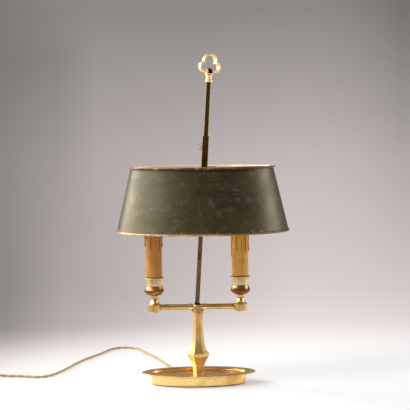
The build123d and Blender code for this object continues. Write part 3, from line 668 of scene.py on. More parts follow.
# Each brass says what differs from the common one
brassFinishes = {
    "gilt_brass": {"roughness": 0.21, "spots": 0.12, "relief": 0.12},
    "tray_brass": {
        "warm": (214, 156, 84), "roughness": 0.22, "cloudSize": 26.0, "amount": 0.6,
        "lines": (90.0, 90.0, 900.0), "spots": 0.10, "shadeAndSoil": 0.7, "relief": 0.08,
    },
    "arm_brass": {
        "clean": (226, 188, 118), "warm": (168, 128, 68), "roughness": 0.3, "cloudSize": 40.0,
        "amount": 0.8, "spots": 0.2, "shadeAndSoil": 0.9, "relief": 0.2,
    },
    "cup_brass": {
        # painted reflection: the cups are paler above the waist and dark brown on the belly below it
        "clean": (255, 228, 172), "lowPart": (0.151, 0.159, (136, 90, 48)), "roughness": 0.27,
        "spots": 0.12, "relief": 0.12,
    },
    "satin_brass": {
        "warm": (204, 154, 84), "roughness": 0.34, "cloudSize": 40.0, "amount": 0.8,
        "lines": (420.0, 420.0, 60.0), "spots": 0.2, "relief": 0.25,
    },
    "gilt_finial": {
        "clean": (252, 226, 168), "warm": (238, 202, 132), "stain": (180, 130, 66),
        "grimeAndShade": (120, 86, 40), "roughness": 0.52, "amount": 0.2, "spots": 0.1, "shadeAndSoil": 0.4, "relief": 0.08,
    },
    "lever_brass": {
        "clean": (255, 244, 220), "warm": (250, 230, 196), "stain": (190, 150, 96),
        "grimeAndShade": (60, 42, 24), "roughness": 0.5, "spots": 0.1, "shadeAndSoil": 0.4, "relief": 0.1,
    },
    "aged_bronze": {
        "clean": (104, 84, 42), "warm": (70, 56, 30), "stain": (36, 28, 18),
        "grimeAndShade": (24, 18, 10), "worn": (210, 166, 92), "lowPart": (0.19, 0.27, (150, 124, 96)),
        "roughness": 0.3, "cloudSize": 60.0, "amount": 0.9, "lines": (900.0, 900.0, 30.0),
    },
}
for name, changes in brassFinishes.items():
    makeMetal(name, **{**brassSetup, **changes})
for name, clean, warm, stain, roughness, cloudSize, amount in (
    ("strap_metal", (120, 104, 70), (92, 78, 52), (56, 44, 28), 0.4, 50.0, 0.8),
    ("dark_nut", (62, 44, 24), (44, 32, 20), (24, 18, 12), 0.36, 90.0, 0.5),
    ("plain_steel", (196, 196, 192), (170, 168, 162), (110, 100, 90), 0.3, 70.0, 0.5),
    ("iron_weight", (92, 90, 86), (76, 70, 64), (96, 58, 38), 0.55, 40.0, 0.5),
    ("bulb_metal", (214, 212, 204), (190, 188, 180), (140, 136, 128), 0.26, 80.0, 0.5),
    ("pin_metal", (214, 208, 196), (196, 188, 172), (140, 128, 110), 0.24, 80.0, 0.5),
):
    makeMetal(name, **{
        **brassSetup, "clean": clean, "warm": warm, "stain": stain, "grimeAndShade": (60, 42, 24),
        "roughness": roughness, "cloudSize": cloudSize, "amount": amount,
    })


# Painted tin of the shade: outside green, inside cream

shadeSetup = {
    "middle": (0.010006, 0.0, 0.2925),
    "halfLength": 0.1235,
    "halfDepth": 0.0823,
    "olive": paint(58, 52, 20),
    "darkOlive": paint(22, 18, 5),
    "greenTint": paint(48, 50, 22),
    "streak": paint(88, 80, 46),
    "smear": paint(108, 101, 72),
    "stain": paint(92, 64, 30),
    "scratchAndShadow": paint(12, 9, 5),
    "chip": paint(200, 178, 130),
    "cream": paint(246, 232, 200),
    "creamWarm": paint(226, 186, 130),
    "rust": paint(150, 88, 44),
    "brushLines": (16.0, 16.0, 1300.0),
    "broadLines": (5.0, 5.0, 260.0),
    "patchNoise": (22.0, 5.0, 0.6),
    "smearScale": (46.0, 46.0, 70.0),
    "smearNoise": (1.0, 6.0, 0.7),
    "scuffScale": (330.0, 330.0, 900.0),
    "scratchTurn": 32,
    "scratchScale": (620, 620, 46),
    "cloud": (16.0, 0.8),
    # masks: the noise, then the values between which it rises
    "chips": ((420.0, 2.0, 0.7), (0.70, 0.72)),
    "crowds": ((18.0, 3.0, 0.6), (0.44, 0.56)),
    "scuffs": ((1.0, 2.0, 0.6), (0.68, 0.72)),
    "rimWear": ((160.0, 4.0, 0.7), (0.57, 0.66)),
    "stains": ((30.0, 5.0, 0.65), (0.46, 0.62)),
    "scratches": ((1.0, 1.0, 0.5), (0.66, 0.69)),
    "underBeadShadow": ((70.0, 4.0, 0.6), (0.35, 0.55, 0.6, 1.0)),
    "rustSpots": ((60.0, 5.0, 0.7), (0.60, 0.68, 0.0, 0.8)),
    # heights between which a band rises
    "rimLow": (0.249, 0.244),
    "rimTop": (0.339, 0.341),
    "stainBand": (0.273, 0.245),
    "underBead": (0.3335, 0.338),
    # values of the patches, lines and smears between which each of these shows
    "darkPatches": (0.40, 0.62),
    "scuffedPatches": (0.52, 0.60, 0.0, 0.6),
    "dullPatches": (0.35, 0.65),
    "tintLines": (0.40, 0.70, 0.0, 0.5),
    "streakLines": (0.50, 0.78, 0.0, 0.18),
    "paleSmears": (0.52, 0.68, 0.0, 0.5),
    "scratchedSmears": (0.44, 0.52, 0.0, 0.85),
    "stainShare": 0.6,
    "roughness": 0.30,
    # what lines, patches and bare metal add to the roughness
    "duller": (0.18, 0.10, 0.15),
    "waveNoise": (9.0, 1.0, 0.4),
    # how far waves, smears and bare metal stand out beside the lines
    "relief": (22.0, 2.5, -1.2),
    "bump": (0.00006, 0.6),
}


def shadeSide(tree, place):
    # 1 on the outer side of the sheet, 0 on its inner side
    radial = vectorSums(tree, "SUBTRACT", place, shadeSetup["middle"])
    flatRadial = stretched(tree, radial, (
        1 / shadeSetup["halfLength"] ** 2, 1 / shadeSetup["halfDepth"] ** 2, 0.0,
    ))
    facing = vectorSums(tree, "DOT_PRODUCT", flatRadial, objectNormal(tree), "Value")
    return sums(tree, "GREATER_THAN", facing, 0.0)


def shadeBare(tree, place, up, patches):
    # where the paint has gone: chips in crowds, scuffs, and both rims
    chips, crowds, rimWear = (
        noiseMask(tree, place, *shadeSetup[mask]) for mask in ("chips", "crowds", "rimWear")
    )
    scuffs = noiseMask(tree, stretched(tree, place, shadeSetup["scuffScale"]), *shadeSetup["scuffs"])
    scuffs = times(tree, scuffs, spread(tree, patches, *shadeSetup["scuffedPatches"]))
    rimLow, rimTop = (spread(tree, up, *shadeSetup[band]) for band in ("rimLow", "rimTop"))
    wearAndHighlight = times(tree, highest(tree, rimLow, rimTop), rimWear)
    return highest(tree, times(tree, chips, crowds), scuffs, wearAndHighlight)


def makeShadePaint():
    tree, socket = newMaterial("green_paint", **{
        "Specular IOR Level": 0.9, "Specular Tint": (1.0, 0.86, 0.56, 1.0),
    })
    place = objectPlace(tree)
    up = splitAxes(tree, place)["Z"]
    brush = placeGroup(tree, hairlines, Across=shadeSetup["brushLines"])["Lines"]
    broad = placeGroup(tree, hairlines, Across=shadeSetup["broadLines"])["Lines"]
    clouds = cloudsAt(tree, *shadeSetup["cloud"])
    patches = noiseAt(tree, place, *shadeSetup["patchNoise"])
    blur = noiseAt(tree, stretched(tree, place, shadeSetup["smearScale"]), *shadeSetup["smearNoise"])
    bare = shadeBare(tree, place, up, patches)
    stains, underBeadShadow, rust = (
        noiseMask(tree, place, *shadeSetup[mask]) for mask in ("stains", "underBeadShadow", "rustSpots")
    )
    stains = times(tree, stains, spread(tree, up, *shadeSetup["stainBand"]))
    # painted shadow: a dark band just under the top bead
    underBeadShadow = times(tree, underBeadShadow, spread(tree, up, *shadeSetup["underBead"]))
    turn = (0, math.radians(shadeSetup["scratchTurn"]), 0)
    turned = addNode(tree, "Mapping", Vector=place, Rotation=turn, Scale=shadeSetup["scratchScale"])
    scratches = noiseMask(tree, turned.outputs["Vector"], *shadeSetup["scratches"])
    scratches = times(tree, scratches, spread(tree, blur, *shadeSetup["scratchedSmears"]))

    darker = spread(tree, patches, *shadeSetup["darkPatches"])
    olive = mixed(tree, darker, shadeSetup["olive"], shadeSetup["darkOlive"])
    for share, tone in (
        (spread(tree, broad, *shadeSetup["tintLines"]), "greenTint"),
        (spread(tree, brush, *shadeSetup["streakLines"]), "streak"),
        (spread(tree, blur, *shadeSetup["paleSmears"]), "smear"),
        (times(tree, stains, shadeSetup["stainShare"]), "stain"),
        (scratches, "scratchAndShadow"), (underBeadShadow, "scratchAndShadow"), (bare, "chip"),
    ):
        olive = mixed(tree, share, olive, shadeSetup[tone])
    cream = mixed(tree, clouds, shadeSetup["cream"], shadeSetup["creamWarm"])
    cream = mixed(tree, rust, cream, shadeSetup["rust"])
    dull = spread(tree, patches, *shadeSetup["dullPatches"])
    roughness = addedUp(tree, shadeSetup["roughness"], *zip((brush, dull, bare), shadeSetup["duller"]))
    wave = noiseAt(tree, place, *shadeSetup["waveNoise"])
    height = addedUp(tree, brush, *zip((wave, blur, bare), shadeSetup["relief"]))
    colour = mixed(tree, shadeSide(tree, place), cream, olive)
    joinFinish(tree, socket, colour, roughness, height, *shadeSetup["bump"])


makeShadePaint()


# The beads: dull gilt below, dark brown where the paint has gone over the top one

beadSetup = {
    "gilt": paint(214, 182, 138),
    "dull": paint(148, 112, 74),
    "brown": paint(104, 70, 40),
    "chip": paint(232, 196, 130),
    "wearAndHighlight": paint(196, 164, 128),
    "halfWay": 0.30,
    "shadedRightward": (0.02, 0.12, 0.0, 0.9),
    "patches": ((55.0, 5.0, 0.65), (0.50, 0.60)),
    "facingUp": (0.45, 0.85, 0.0, 0.8),
    "topMetal": 0.28,
    "lowMetal": 0.7,
    "tarnish": {"Size": 40.0, "Amount": 0.9},
    "dullShare": 0.8,
    "spotShare": 0.7,
    "chipShare": 0.5,
    "roughness": 0.34,
    "patchRough": 0.2,
    "grain": (260.0, 3.0),
    "bump": (0.0001, 0.5),
}


def makeBeadFinish():
    tree, socket = newMaterial("gilt_bead")
    place = objectPlace(tree)
    axes = splitAxes(tree, place)
    upper = sums(tree, "GREATER_THAN", axes["Z"], beadSetup["halfWay"])
    marks = placeGroup(tree, tarnish, **beadSetup["tarnish"])
    patches = noiseMask(tree, place, *beadSetup["patches"])
    dulled = times(tree, marks["Cloud"], beadSetup["dullShare"])
    low = mixed(tree, dulled, beadSetup["gilt"], beadSetup["dull"])
    # painted shade: the lower bead turns brown towards its right side
    low = mixed(tree, spread(tree, axes["X"], *beadSetup["shadedRightward"]), low, beadSetup["brown"])
    low = mixed(tree, times(tree, marks["Spots"], beadSetup["spotShare"]), low, beadSetup["brown"])
    high = mixed(tree, times(tree, patches, beadSetup["chipShare"]), beadSetup["brown"], beadSetup["chip"])
    # painted highlight and wear: the top bead is paler where it faces up
    wearAndHighlight = spread(tree, splitAxes(tree, objectNormal(tree))["Z"], *beadSetup["facingUp"])
    high = mixed(tree, wearAndHighlight, high, beadSetup["wearAndHighlight"])
    high = mixed(tree, shadeSide(tree, place), shadeSetup["cream"], high)
    metal = spread(tree, upper, 0.0, 1.0, beadSetup["lowMetal"], beadSetup["topMetal"])
    joinSocket(tree, metal, socket["Metallic"])
    colour = mixed(tree, upper, low, high)
    roughness = addedUp(tree, beadSetup["roughness"], (patches, beadSetup["patchRough"]))
    joinFinish(tree, socket, colour, roughness, noiseAt(tree, place, *beadSetup["grain"]), *beadSetup["bump"])


makeBeadFinish()


# Candles, felt, plastics

waxSetup = {
    "light": paint(240, 180, 78),
    "amber": paint(216, 150, 56),
    "brown": paint(168, 106, 36),
    "shadedBrown": paint(166, 104, 34),
    "runShade": paint(84, 44, 12),
    "grain": (260.0, 260.0, 26.0),
    "crossing": (-0.02, 0.02, 0.5, 0.0),
    "hollowReach": 0.0032,
    "grainNoise": (1.0, 4.0, 0.6),
    "streaks": (0.36, 0.66),
    "clouds": (34.0, 0.8),
    "cloudShare": 0.35,
    "roughness": 0.4,
    "skin": (260.0, 3.0),
    "bump": (0.00012, 0.5),
}


def makeCandleWax():
    tree, socket = newMaterial("amber_candle", **{
        "Subsurface Weight": 0.3, "Subsurface Scale": 0.003, "Coat Weight": 0.1, "Coat Roughness": 0.2,
    })
    place = objectPlace(tree)
    streaks = noiseAt(tree, stretched(tree, place, waxSetup["grain"]), *waxSetup["grainNoise"])
    clouds = cloudsAt(tree, *waxSetup["clouds"])
    colour = mixed(tree, spread(tree, streaks, *waxSetup["streaks"]), waxSetup["light"], waxSetup["amber"])
    colour = mixed(tree, times(tree, clouds, waxSetup["cloudShare"]), colour, waxSetup["brown"])
    # painted shade: the left candle is painted browner and darker than the right one
    leftward = spread(tree, splitAxes(tree, place)["X"], *waxSetup["crossing"])
    colour = mixed(tree, leftward, colour, waxSetup["shadedBrown"])
    dirtAndShade = placeGroup(tree, crevices, Reach=waxSetup["hollowReach"])["DirtAndShade"]
    # painted shade: the wax darkens round the runs and where they meet the sleeve
    colour = mixed(tree, dirtAndShade, colour, waxSetup["runShade"])
    height = sums(tree, "ADD", noiseAt(tree, place, *waxSetup["skin"]), streaks)
    joinFinish(tree, socket, colour, waxSetup["roughness"], height, *waxSetup["bump"])


greenFeltSetup = {
    "fibres": (1800.0, 3.0, 0.7),
    "deep": paint(30, 52, 34),
    "high": paint(58, 84, 56),
    "roughness": 0.95,
    "bump": (0.0003, 0.8),
}


def makeFelt():
    tree, socket = newMaterial("green_felt", **{"Sheen Weight": 0.4})
    fibres = noiseAt(tree, objectPlace(tree), *greenFeltSetup["fibres"])
    colour = mixed(tree, fibres, greenFeltSetup["deep"], greenFeltSetup["high"])
    joinFinish(tree, socket, colour, greenFeltSetup["roughness"], fibres, *greenFeltSetup["bump"])


plasticSetup = {
    "clouds": (30.0, 0.6),
    "cloudRough": 0.12,
    "grain": (900.0, 2.0),
    "bump": (0.00005, 0.4),
}


def makePlastic(name, colour, second, roughness):
    tree, socket = newMaterial(name)
    clouds = cloudsAt(tree, *plasticSetup["clouds"])
    grain = noiseAt(tree, objectPlace(tree), *plasticSetup["grain"])
    roughness = addedUp(tree, roughness, (clouds, plasticSetup["cloudRough"]))
    joinFinish(tree, socket, mixed(tree, clouds, colour, second), roughness, grain, *plasticSetup["bump"])


clothSetup = {
    "thread": paint(240, 206, 146),
    "gap": paint(168, 122, 66),
    "worn": paint(176, 128, 72),
    "crossing": 0.0022,
    "threads": 4,
    "clouds": (30.0, 0.6),
    "wornShare": 0.4,
    "gapRough": 0.7,
    "threadRough": 0.45,
    "bump": (0.0002, 0.8),
}


def makeCordCloth():
    # a braid of threads that cross over and under along each strand
    tree, socket = newMaterial("gold_cord", **{"Sheen Weight": 0.3})
    strand = addNode(tree, "UVMap")
    strand.uv_map = "strand"
    axes = splitAxes(tree, strand.outputs["UV"])
    along = times(tree, axes["X"], 2 * math.pi / clothSetup["crossing"])
    around = times(tree, axes["Y"], 2 * math.pi * clothSetup["threads"])
    over = sums(tree, "SINE", sums(tree, "ADD", along, around))
    under = sums(tree, "SINE", sums(tree, "SUBTRACT", along, around))
    braid = spread(tree, times(tree, over, under), -1.0, 1.0)
    colour = mixed(tree, braid, clothSetup["gap"], clothSetup["thread"])
    worn = times(tree, cloudsAt(tree, *clothSetup["clouds"]), clothSetup["wornShare"])
    colour = mixed(tree, worn, colour, clothSetup["worn"])
    roughness = spread(tree, braid, 0.0, 1.0, clothSetup["gapRough"], clothSetup["threadRough"])
    joinFinish(tree, socket, colour, roughness, braid, *clothSetup["bump"])


glassSetup = {"dust": (50.0, 0.4), "clean": 0.02, "dusty": 0.1}


def makeGlass():
    tree, socket = newMaterial("bulb_glass", **{"Transmission Weight": 1.0, "IOR": 1.48})
    # a little dust dulls it in places
    dust = cloudsAt(tree, *glassSetup["dust"])
    dull = spread(tree, dust, 0.0, 1.0, glassSetup["clean"], glassSetup["dusty"])
    joinSocket(tree, dull, socket["Roughness"])


makeCandleWax()
makeFelt()
makeCordCloth()
makeGlass()
for name, colour, second, roughness in (
    ("white_nylon", paint(226, 222, 210), paint(206, 200, 184), 0.45),
    ("bushing_brown", paint(74, 52, 34), paint(60, 42, 28), 0.5),
    ("lead_cover", paint(196, 188, 168), paint(176, 166, 146), 0.5),
    ("holder_black", paint(34, 32, 30), paint(48, 44, 40), 0.4),
    ("gold_plastic", paint(196, 150, 84), paint(176, 130, 68), 0.34),
    ("rocker_brown", paint(92, 62, 36), paint(76, 50, 30), 0.38),
):
    makePlastic(name, colour, second, roughness)
print("materials made", len(materials))


# Nodes that take another brass than the one their slot names

finishSetup = {
    "tray_brass": ("base_tray",),
    "cup_brass": ("cup_left", "cup_right"),
    "arm_brass": ("centre_hub", "arm_left", "arm_right"),
    "satin_brass": ("column_foot", "column_shaft", "column_cap"),
    "lever_brass": ("clamp_lever", "lever_bracket", "lever_pin"),
}


def dressNodes():
    slotOf = {part["node"]: part["material_slot"] for part in frame["record"]["subparts"]}
    slotOf.update({name: finish for finish, names in finishSetup.items() for name in names})
    for name, node in nodes.items():
        node.data.materials.clear()
        node.data.materials.append(materials[slotOf[name]])


dressNodes()
print("nodes dressed")
makeCord(makeTie())


# Candle sleeves with their wax runs: angle round the candle, lower end above its foot, width

candleSetup = {
    "radius": 0.0130,
    "wall": 0.0010,
    "sides": 64,
    "runSides": 12,
    "runProud": 0.0006,
    "runSunk": 0.0004,
    "runShape": [(0.0, 1.0), (0.35, 0.9), (0.7, 0.78), (0.86, 0.88), (0.93, 1.12), (0.965, 1.2), (0.985, 1.0),
                 (1.0, 0.35)],
    "runDrop": 0.0015,
    "runTop": 0.0008,
    "sway": 0.02,
    "swayTurns": 7,
    "ripple": 0.0001,
    "rippleSteps": 12,
    "rippleTurn": 1.9,
    "rippleShift": 40,
    "footRise": 0.0003,
    "lip": [(0.0002, -0.0016), (0.0005, -0.0010), (0.0004, -0.0003), (0.0, 0.0)],
    "soft": (0.0002, 0.0004),
    "lights": {"left": -0.068, "right": 0.068},
    "runs": {
        "left": [(180, 0.0518, 0.0015), (249, 0.0488, 0.0014), (0, 0.0501, 0.0015), (326, 0.0448, 0.0014),
                 (212, 0.0640, 0.0012), (290, 0.0610, 0.0015), (90, 0.0500, 0.0015), (135, 0.0560, 0.0014),
                 (45, 0.0470, 0.0013)],
        "right": [(235, 0.0498, 0.0014), (244, 0.0448, 0.0013), (315, 0.0413, 0.0015), (0, 0.0418, 0.0015),
                  (180, 0.0338, 0.0014), (285, 0.0438, 0.0015), (205, 0.0610, 0.0013), (262, 0.0630, 0.0013),
                  (90, 0.0480, 0.0015), (140, 0.0540, 0.0013), (40, 0.0590, 0.0014)],
    },
}


def waxRun(middleX, angle, low, high, radius):
    # one run: thin at its start, with a rounded drop at its lower end
    reach = candleSetup["radius"] + candleSetup["runProud"] - candleSetup["runSunk"]
    rings = []
    for share, width in candleSetup["runShape"]:
        turn = math.radians(angle) + candleSetup["sway"] * math.sin(candleSetup["swayTurns"] * share + angle)
        out, side = outAndAlong(turn)
        middle = Vector((middleX, 0, high - (high - low) * share)) + out * reach
        rings.append(tubeRing(middle, out, side, radius * width, candleSetup["runSides"]))
    return gridMesh(rings, capEnds=True)


def makeCandle(side):
    node = "candle_sleeve_" + side
    bottom, top = (corner[2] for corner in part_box(node))
    middleX = candleSetup["lights"][side]
    radius = candleSetup["radius"]
    inside = radius - candleSetup["wall"]
    narrow, low = candleSetup["soft"]
    steps = candleSetup["rippleSteps"]
    outline = [(inside, bottom), (radius - narrow, bottom), (radius, bottom + candleSetup["footRise"])]
    for step in range(1, steps):
        height = bottom + (top - bottom) * step / steps
        turn = step * candleSetup["rippleTurn"] + middleX * candleSetup["rippleShift"]
        outline.append((radius + candleSetup["ripple"] * math.sin(turn), height))
    outline += [(radius + out, top + rise) for out, rise in candleSetup["lip"]]
    outline += [(inside + narrow, top), (inside, top - low)]
    meshes = [gridMesh(latheRings(outline, candleSetup["sides"], middleX), joinEnds=True)]
    for angle, reach, width in candleSetup["runs"][side]:
        runLow = bottom + reach - candleSetup["runDrop"]
        meshes.append(waxRun(middleX, angle, runLow, top - candleSetup["runTop"], width))
    addPiece("candle_" + side, joinedMesh("candle_" + side, *meshes), "amber_candle", (node,))


# Flame-shaped bulbs of thin glass with a stem and a filament inside

bulbSetup = {
    "foot": 0.0070,
    "belly": 0.0175,
    "bellyAt": 0.36,
    "footPower": 1.15,
    "tipPower": 1.75,
    "tipDraw": 0.12,
    "rowPower": 1.6,
    "wall": 0.0006,
    "sides": 48,
    "rows": 22,
    "thinnest": 0.0004,
    "thinnestInside": 0.0003,
    "tipFrom": 0.0007,
    "stem": [(0.0058, 0.0), (0.0058, 0.0010), (0.0036, 0.004), (0.0022, 0.010), (0.0018, 0.020),
             (0.0022, 0.026), (0.0012, 0.027)],
    "stemSides": 20,
    "stemFrom": 0.0004,
    "wireFrom": 0.022,
    "wireLow": [(0.0010, 0.0), (0.0030, 0.006)],
    "wireHigh": [(0.0062, -0.004), (0.0066, 0.0)],
    "bowFrom": 0.0012,
    "bowTurns": range(20, 161, 20),
    "filamentHigh": 0.046,
    "filamentReach": 0.0044,
    "filamentRise": 0.0052,
    "wire": 0.00022,
    "wireSides": 6,
}


def flameRadius(share):
    foot, belly, bellyAt = bulbSetup["foot"], bulbSetup["belly"], bulbSetup["bellyAt"]
    if share < bellyAt:
        part = share / bellyAt
        return foot + (belly - foot) * math.sin(part * math.pi / 2) ** bulbSetup["footPower"]
    part = (share - bellyAt) / (1 - bellyAt)
    return belly * math.sqrt(max(0.0, 1 - part ** bulbSetup["tipPower"])) * (1 - bulbSetup["tipDraw"] * part)


def makeGlassBody(side):
    node = "bulb_glass_" + side
    bottom, top = (corner[2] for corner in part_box(node))
    middleX = candleSetup["lights"][side]
    rows = bulbSetup["rows"]
    wall = bulbSetup["wall"]
    shares = [1 - (1 - step / rows) ** bulbSetup["rowPower"] for step in range(rows + 1)]
    outer = [
        (max(flameRadius(share), bulbSetup["thinnest"]), bottom + (top - bottom) * share) for share in shares
    ]
    inner = [
        (
            max(radius - wall, bulbSetup["thinnestInside"]),
            min(height, top - wall) if radius > bulbSetup["tipFrom"] else top - wall,
        )
        for radius, height in outer
    ]
    rings = latheRings(list(reversed(inner)) + outer, bulbSetup["sides"], middleX)
    base = bottom + bulbSetup["stemFrom"]
    stem = [(radius, base + height) for radius, height in bulbSetup["stem"]]
    stemRings = latheRings(stem, bulbSetup["stemSides"], middleX)
    mesh = joinedMesh("bulb_" + side, gridMesh(rings, capEnds=True), gridMesh(stemRings, capEnds=True))
    addPiece("bulb_" + side, mesh, "bulb_glass", (node,))


def makeFilament(side):
    # a wire that rises from the stem, bows over and comes down again
    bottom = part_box("bulb_glass_" + side)[0][2]
    middleX = candleSetup["lights"][side]
    top = bottom + bulbSetup["filamentHigh"]
    start = bottom + bulbSetup["stemFrom"] + bulbSetup["wireFrom"]
    leg = [(reach, start + rise) for reach, rise in bulbSetup["wireLow"]]
    leg += [(reach, top + rise) for reach, rise in bulbSetup["wireHigh"]]
    bow = []
    for degrees in bulbSetup["bowTurns"]:
        turn = math.radians(degrees)
        height = top + bulbSetup["bowFrom"] + bulbSetup["filamentRise"] * math.sin(turn) ** 2
        bow.append((bulbSetup["filamentReach"] * math.cos(turn), height))
    points = leg + bow + [(-reach, height) for reach, height in reversed(leg)]
    wires = []
    for index, (x, z) in enumerate(points):
        before, after = neighbours(points, index)
        forward = Vector((after[0] - before[0], 0, after[1] - before[1])).normalized()
        across = Vector((-forward.z, 0, forward.x))
        middle = Vector((middleX + x, 0, z))
        wires.append(tubeRing(middle, across, Vector((0, 1, 0)), bulbSetup["wire"], bulbSetup["wireSides"]))
    addPiece("filament_" + side, joinedMesh("filament_" + side, gridMesh(wires, capEnds=True)), "bulb_metal")


for side in ("left", "right"):
    makeCandle(side)
    makeGlassBody(side)
    makeFilament(side)
print("candles and bulbs made")


# Felt under the base, a little ragged at its edge

feltSetup = {
    "halfLength": 0.0737,
    "halfDepth": 0.0327,
    "thickness": 0.0015,
    "sides": 96,
    "outline": [(0.5, 0.0), (0.985, 0.0), (0.997, 0.25), (1.0, 0.5), (0.997, 0.8), (0.990, 1.0), (0.5, 1.0)],
    "raggedFrom": 0.9,
    "waves": [(0.0012, 37, 0), (0.0008, 61, 1)],
    "areaShare": 0.996,
}


def makeFeltPad():
    long, deep = feltSetup["halfLength"], feltSetup["halfDepth"]
    rings = []
    for share, rise in feltSetup["outline"]:
        ring = []
        for step in range(feltSetup["sides"]):
            angle = 2 * math.pi * step / feltSetup["sides"]
            ragged = share
            if share > feltSetup["raggedFrom"]:
                waves = feltSetup["waves"]
                ragged *= 1 + sum(size * math.sin(count * angle + start) for size, count, start in waves)
            height = rise * feltSetup["thickness"]
            ring.append((long * ragged * math.cos(angle), deep * ragged * math.sin(angle), height))
        rings.append(ring)
    mesh = joinedMesh("felt", gridMesh(rings, capEnds=True))
    felt = addPiece("felt_under", mesh, "green_felt", ("felt_pad",))


makeFeltPad()
print("felt made")


# Floor, backdrop and lamps

floorSetup = {
    "half": 6.0,
    "low": -0.0003,
    "fadeMiddle": (0.16, -0.08, 0.0),
    "fadeFrom": 0.28,
    "fadeTo": 0.74,
    "fadePower": 1.6,
    "base": (0.80, 0.80, 0.80, 1),
    "glow": (0.22, 0.22, 0.22, 1),
}


def makeFloor():
    half = floorSetup["half"]
    mesh = bpy.data.meshes.new("floor")
    corners = [(-half, -half), (half, -half), (half, half), (-half, half)]
    mesh.from_pydata([(x, y, floorSetup["low"]) for x, y in corners], [], [(0, 1, 2, 3)])
    floor = bpy.data.objects.new("floor", mesh)
    scene.collection.objects.link(floor)
    tree, socket = newMaterial("floor", **{
        "Roughness": 0.6, "Specular IOR Level": 0.2, "Base Color": floorSetup["base"],
        "Emission Strength": 1.0,
    })
    light = addNode(tree, "LightPath").outputs
    shown = highest(tree, light["Is Camera Ray"], light["Is Glossy Ray"])
    joinSocket(tree, mixed(tree, shown, (0, 0, 0, 1), floorSetup["glow"]), socket["Emission Color"])
    length = vectorSums(tree, "DISTANCE", objectPlace(tree), floorSetup["fadeMiddle"], "Value")
    fade = spread(tree, length, floorSetup["fadeFrom"], floorSetup["fadeTo"], 1.0, 0.0)
    joinSocket(tree, sums(tree, "POWER", fade, floorSetup["fadePower"]), socket["Alpha"])
    mesh.materials.append(materials["floor"])


# The backdrop as levels from 0 to 255 over the height of a direction, then its fall to the sides

worldSetup = {
    "level": (0.30, 0.30, 0.30, 1),
    "tint": (1.0, 0.957, 0.948),
    "levels": [
        (-1.0, 255), (-0.20, 255), (-0.177, 248), (-0.156, 231), (-0.134, 219), (-0.112, 213), (-0.07, 204),
        (-0.025, 194), (0.018, 176), (0.062, 158), (0.105, 140), (0.18, 158), (0.45, 150), (1.0, 90),
    ],
    "leftward": (-0.166, 0.07),
    "leftFall": [
        [(0.0, 0.80), (0.19, 0.95), (0.33, 1.0), (1.0, 1.0)],
        [(0.0, 0.60), (0.19, 0.73), (0.33, 0.95), (1.0, 1.0)],
        [(0.0, 0.38), (0.19, 0.58), (0.33, 0.66), (1.0, 1.0)],
        [(0.0, 0.96), (0.19, 1.0), (0.33, 1.0), (1.0, 1.0)],
    ],
    "fallHeights": [(0.060, 0.105), (0.060, -0.134), (-0.160, -0.200)],
    "rightward": (0.080, 0.165),
    "rightFall": (0.105, -0.156, 0.32, 0.05),
    "ahead": (-0.05, -0.55),
    "above": (-0.20, -0.11),
    "ceiling": (0.42, 0.66),
    "roomDark": (0.040, 0.035, 0.030, 1),
    "ceilingTone": (0.42, 0.38, 0.33, 1),
    "roomShare": 0.94,
}


def backdropSeen(tree, axes):
    red, green, blue = worldSetup["tint"]
    seen = ramped(tree, spread(tree, axes["Z"], -1.0, 1.0), [
        ((place + 1) / 2, paint(level * red, level * green, level * blue))
        for place, level in worldSetup["levels"]
    ])
    # painted shade: the backdrop falls off to the left, more so low down, and a little to the right
    leftward = spread(tree, axes["X"], *worldSetup["leftward"])
    high, middle, low, table = (
        ramped(tree, leftward, [(place, (share, share, share, 1)) for place, share in stops])
        for stops in worldSetup["leftFall"]
    )
    toHigh, toLow, toTable = (spread(tree, axes["Z"], *heights) for heights in worldSetup["fallHeights"])
    fall = mixed(tree, toTable, mixed(tree, toLow, mixed(tree, toHigh, middle, high), low), table)
    rightward = sums(tree, "POWER", spread(tree, axes["X"], *worldSetup["rightward"]), 2.0)
    rightFall = times(tree, rightward, spread(tree, axes["Z"], *worldSetup["rightFall"]))
    right = sums(tree, "SUBTRACT", 1.0, rightFall)
    return mixed(tree, 1.0, mixed(tree, 1.0, seen, fall, "MULTIPLY"), right, "MULTIPLY")


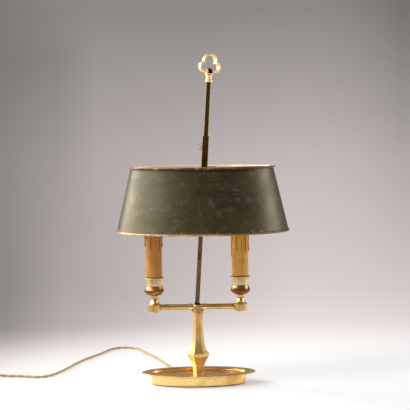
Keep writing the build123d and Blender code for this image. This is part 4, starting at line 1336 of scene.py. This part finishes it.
def makeWorld():
    world = bpy.data.worlds.new("studio")
    scene.world = world
    world.use_nodes = True
    tree = world.node_tree
    tree.nodes.clear()
    axes = splitAxes(tree, addNode(tree, "TexCoord").outputs["Generated"])
    veil = backdropSeen(tree, axes)
    light = addNode(tree, "LightPath").outputs
    # metal sees a darker room in front of the lamp, above the table
    ahead = spread(tree, axes["Y"], *worldSetup["ahead"])
    above = spread(tree, axes["Z"], *worldSetup["above"])
    room = times(tree, times(tree, ahead, above), light["Is Glossy Ray"])
    ceiling = spread(tree, axes["Z"], *worldSetup["ceiling"])
    dark = mixed(tree, ceiling, worldSetup["roomDark"], worldSetup["ceilingTone"])
    veil = mixed(tree, times(tree, room, worldSetup["roomShare"]), veil, dark)
    shown = highest(tree, light["Is Camera Ray"], light["Is Glossy Ray"], light["Is Transmission Ray"])
    back = addNode(tree, "Background", Color=mixed(tree, shown, worldSetup["level"], veil))
    addNode(tree, "OutputWorld", Surface=back.outputs["Background"])


# Area lamps: where each stands from the lamp's middle, and its width and height

lampTarget = (0.0, 0.0, 0.2)
lampSetup = {
    "key": {"toward": (-0.60, -0.35, 0.72), "distance": 2.2, "size": (0.9, 0.9), "power": 20.0},
    "leftBox": {"toward": (-0.99, 0.04, 0.40), "distance": 1.8, "size": (2.7, 1.2), "power": 33.0},
    "leftRim": {"toward": (-0.92, 0.34, 0.38), "distance": 1.8, "size": (0.45, 1.2), "power": 14.0},
    "rightBox": {"toward": (0.95, 0.08, 0.36), "distance": 1.8, "size": (0.8, 1.1), "power": 13.0},
}


def makeLamps():
    for name, setup in lampSetup.items():
        data = bpy.data.lights.new(name, "AREA")
        data.shape = "RECTANGLE"
        data.size, data.size_y = setup["size"]
        data.energy = setup["power"]
        lamp = bpy.data.objects.new(name, data)
        scene.collection.objects.link(lamp)
        toward = Vector(setup["toward"]).normalized()
        lamp.location = Vector(lampTarget) + toward * setup["distance"]
        lamp.rotation_euler = (-toward).to_track_quat("-Z", "Y").to_euler()


makeFloor()
makeWorld()
makeLamps()
print("studio made")
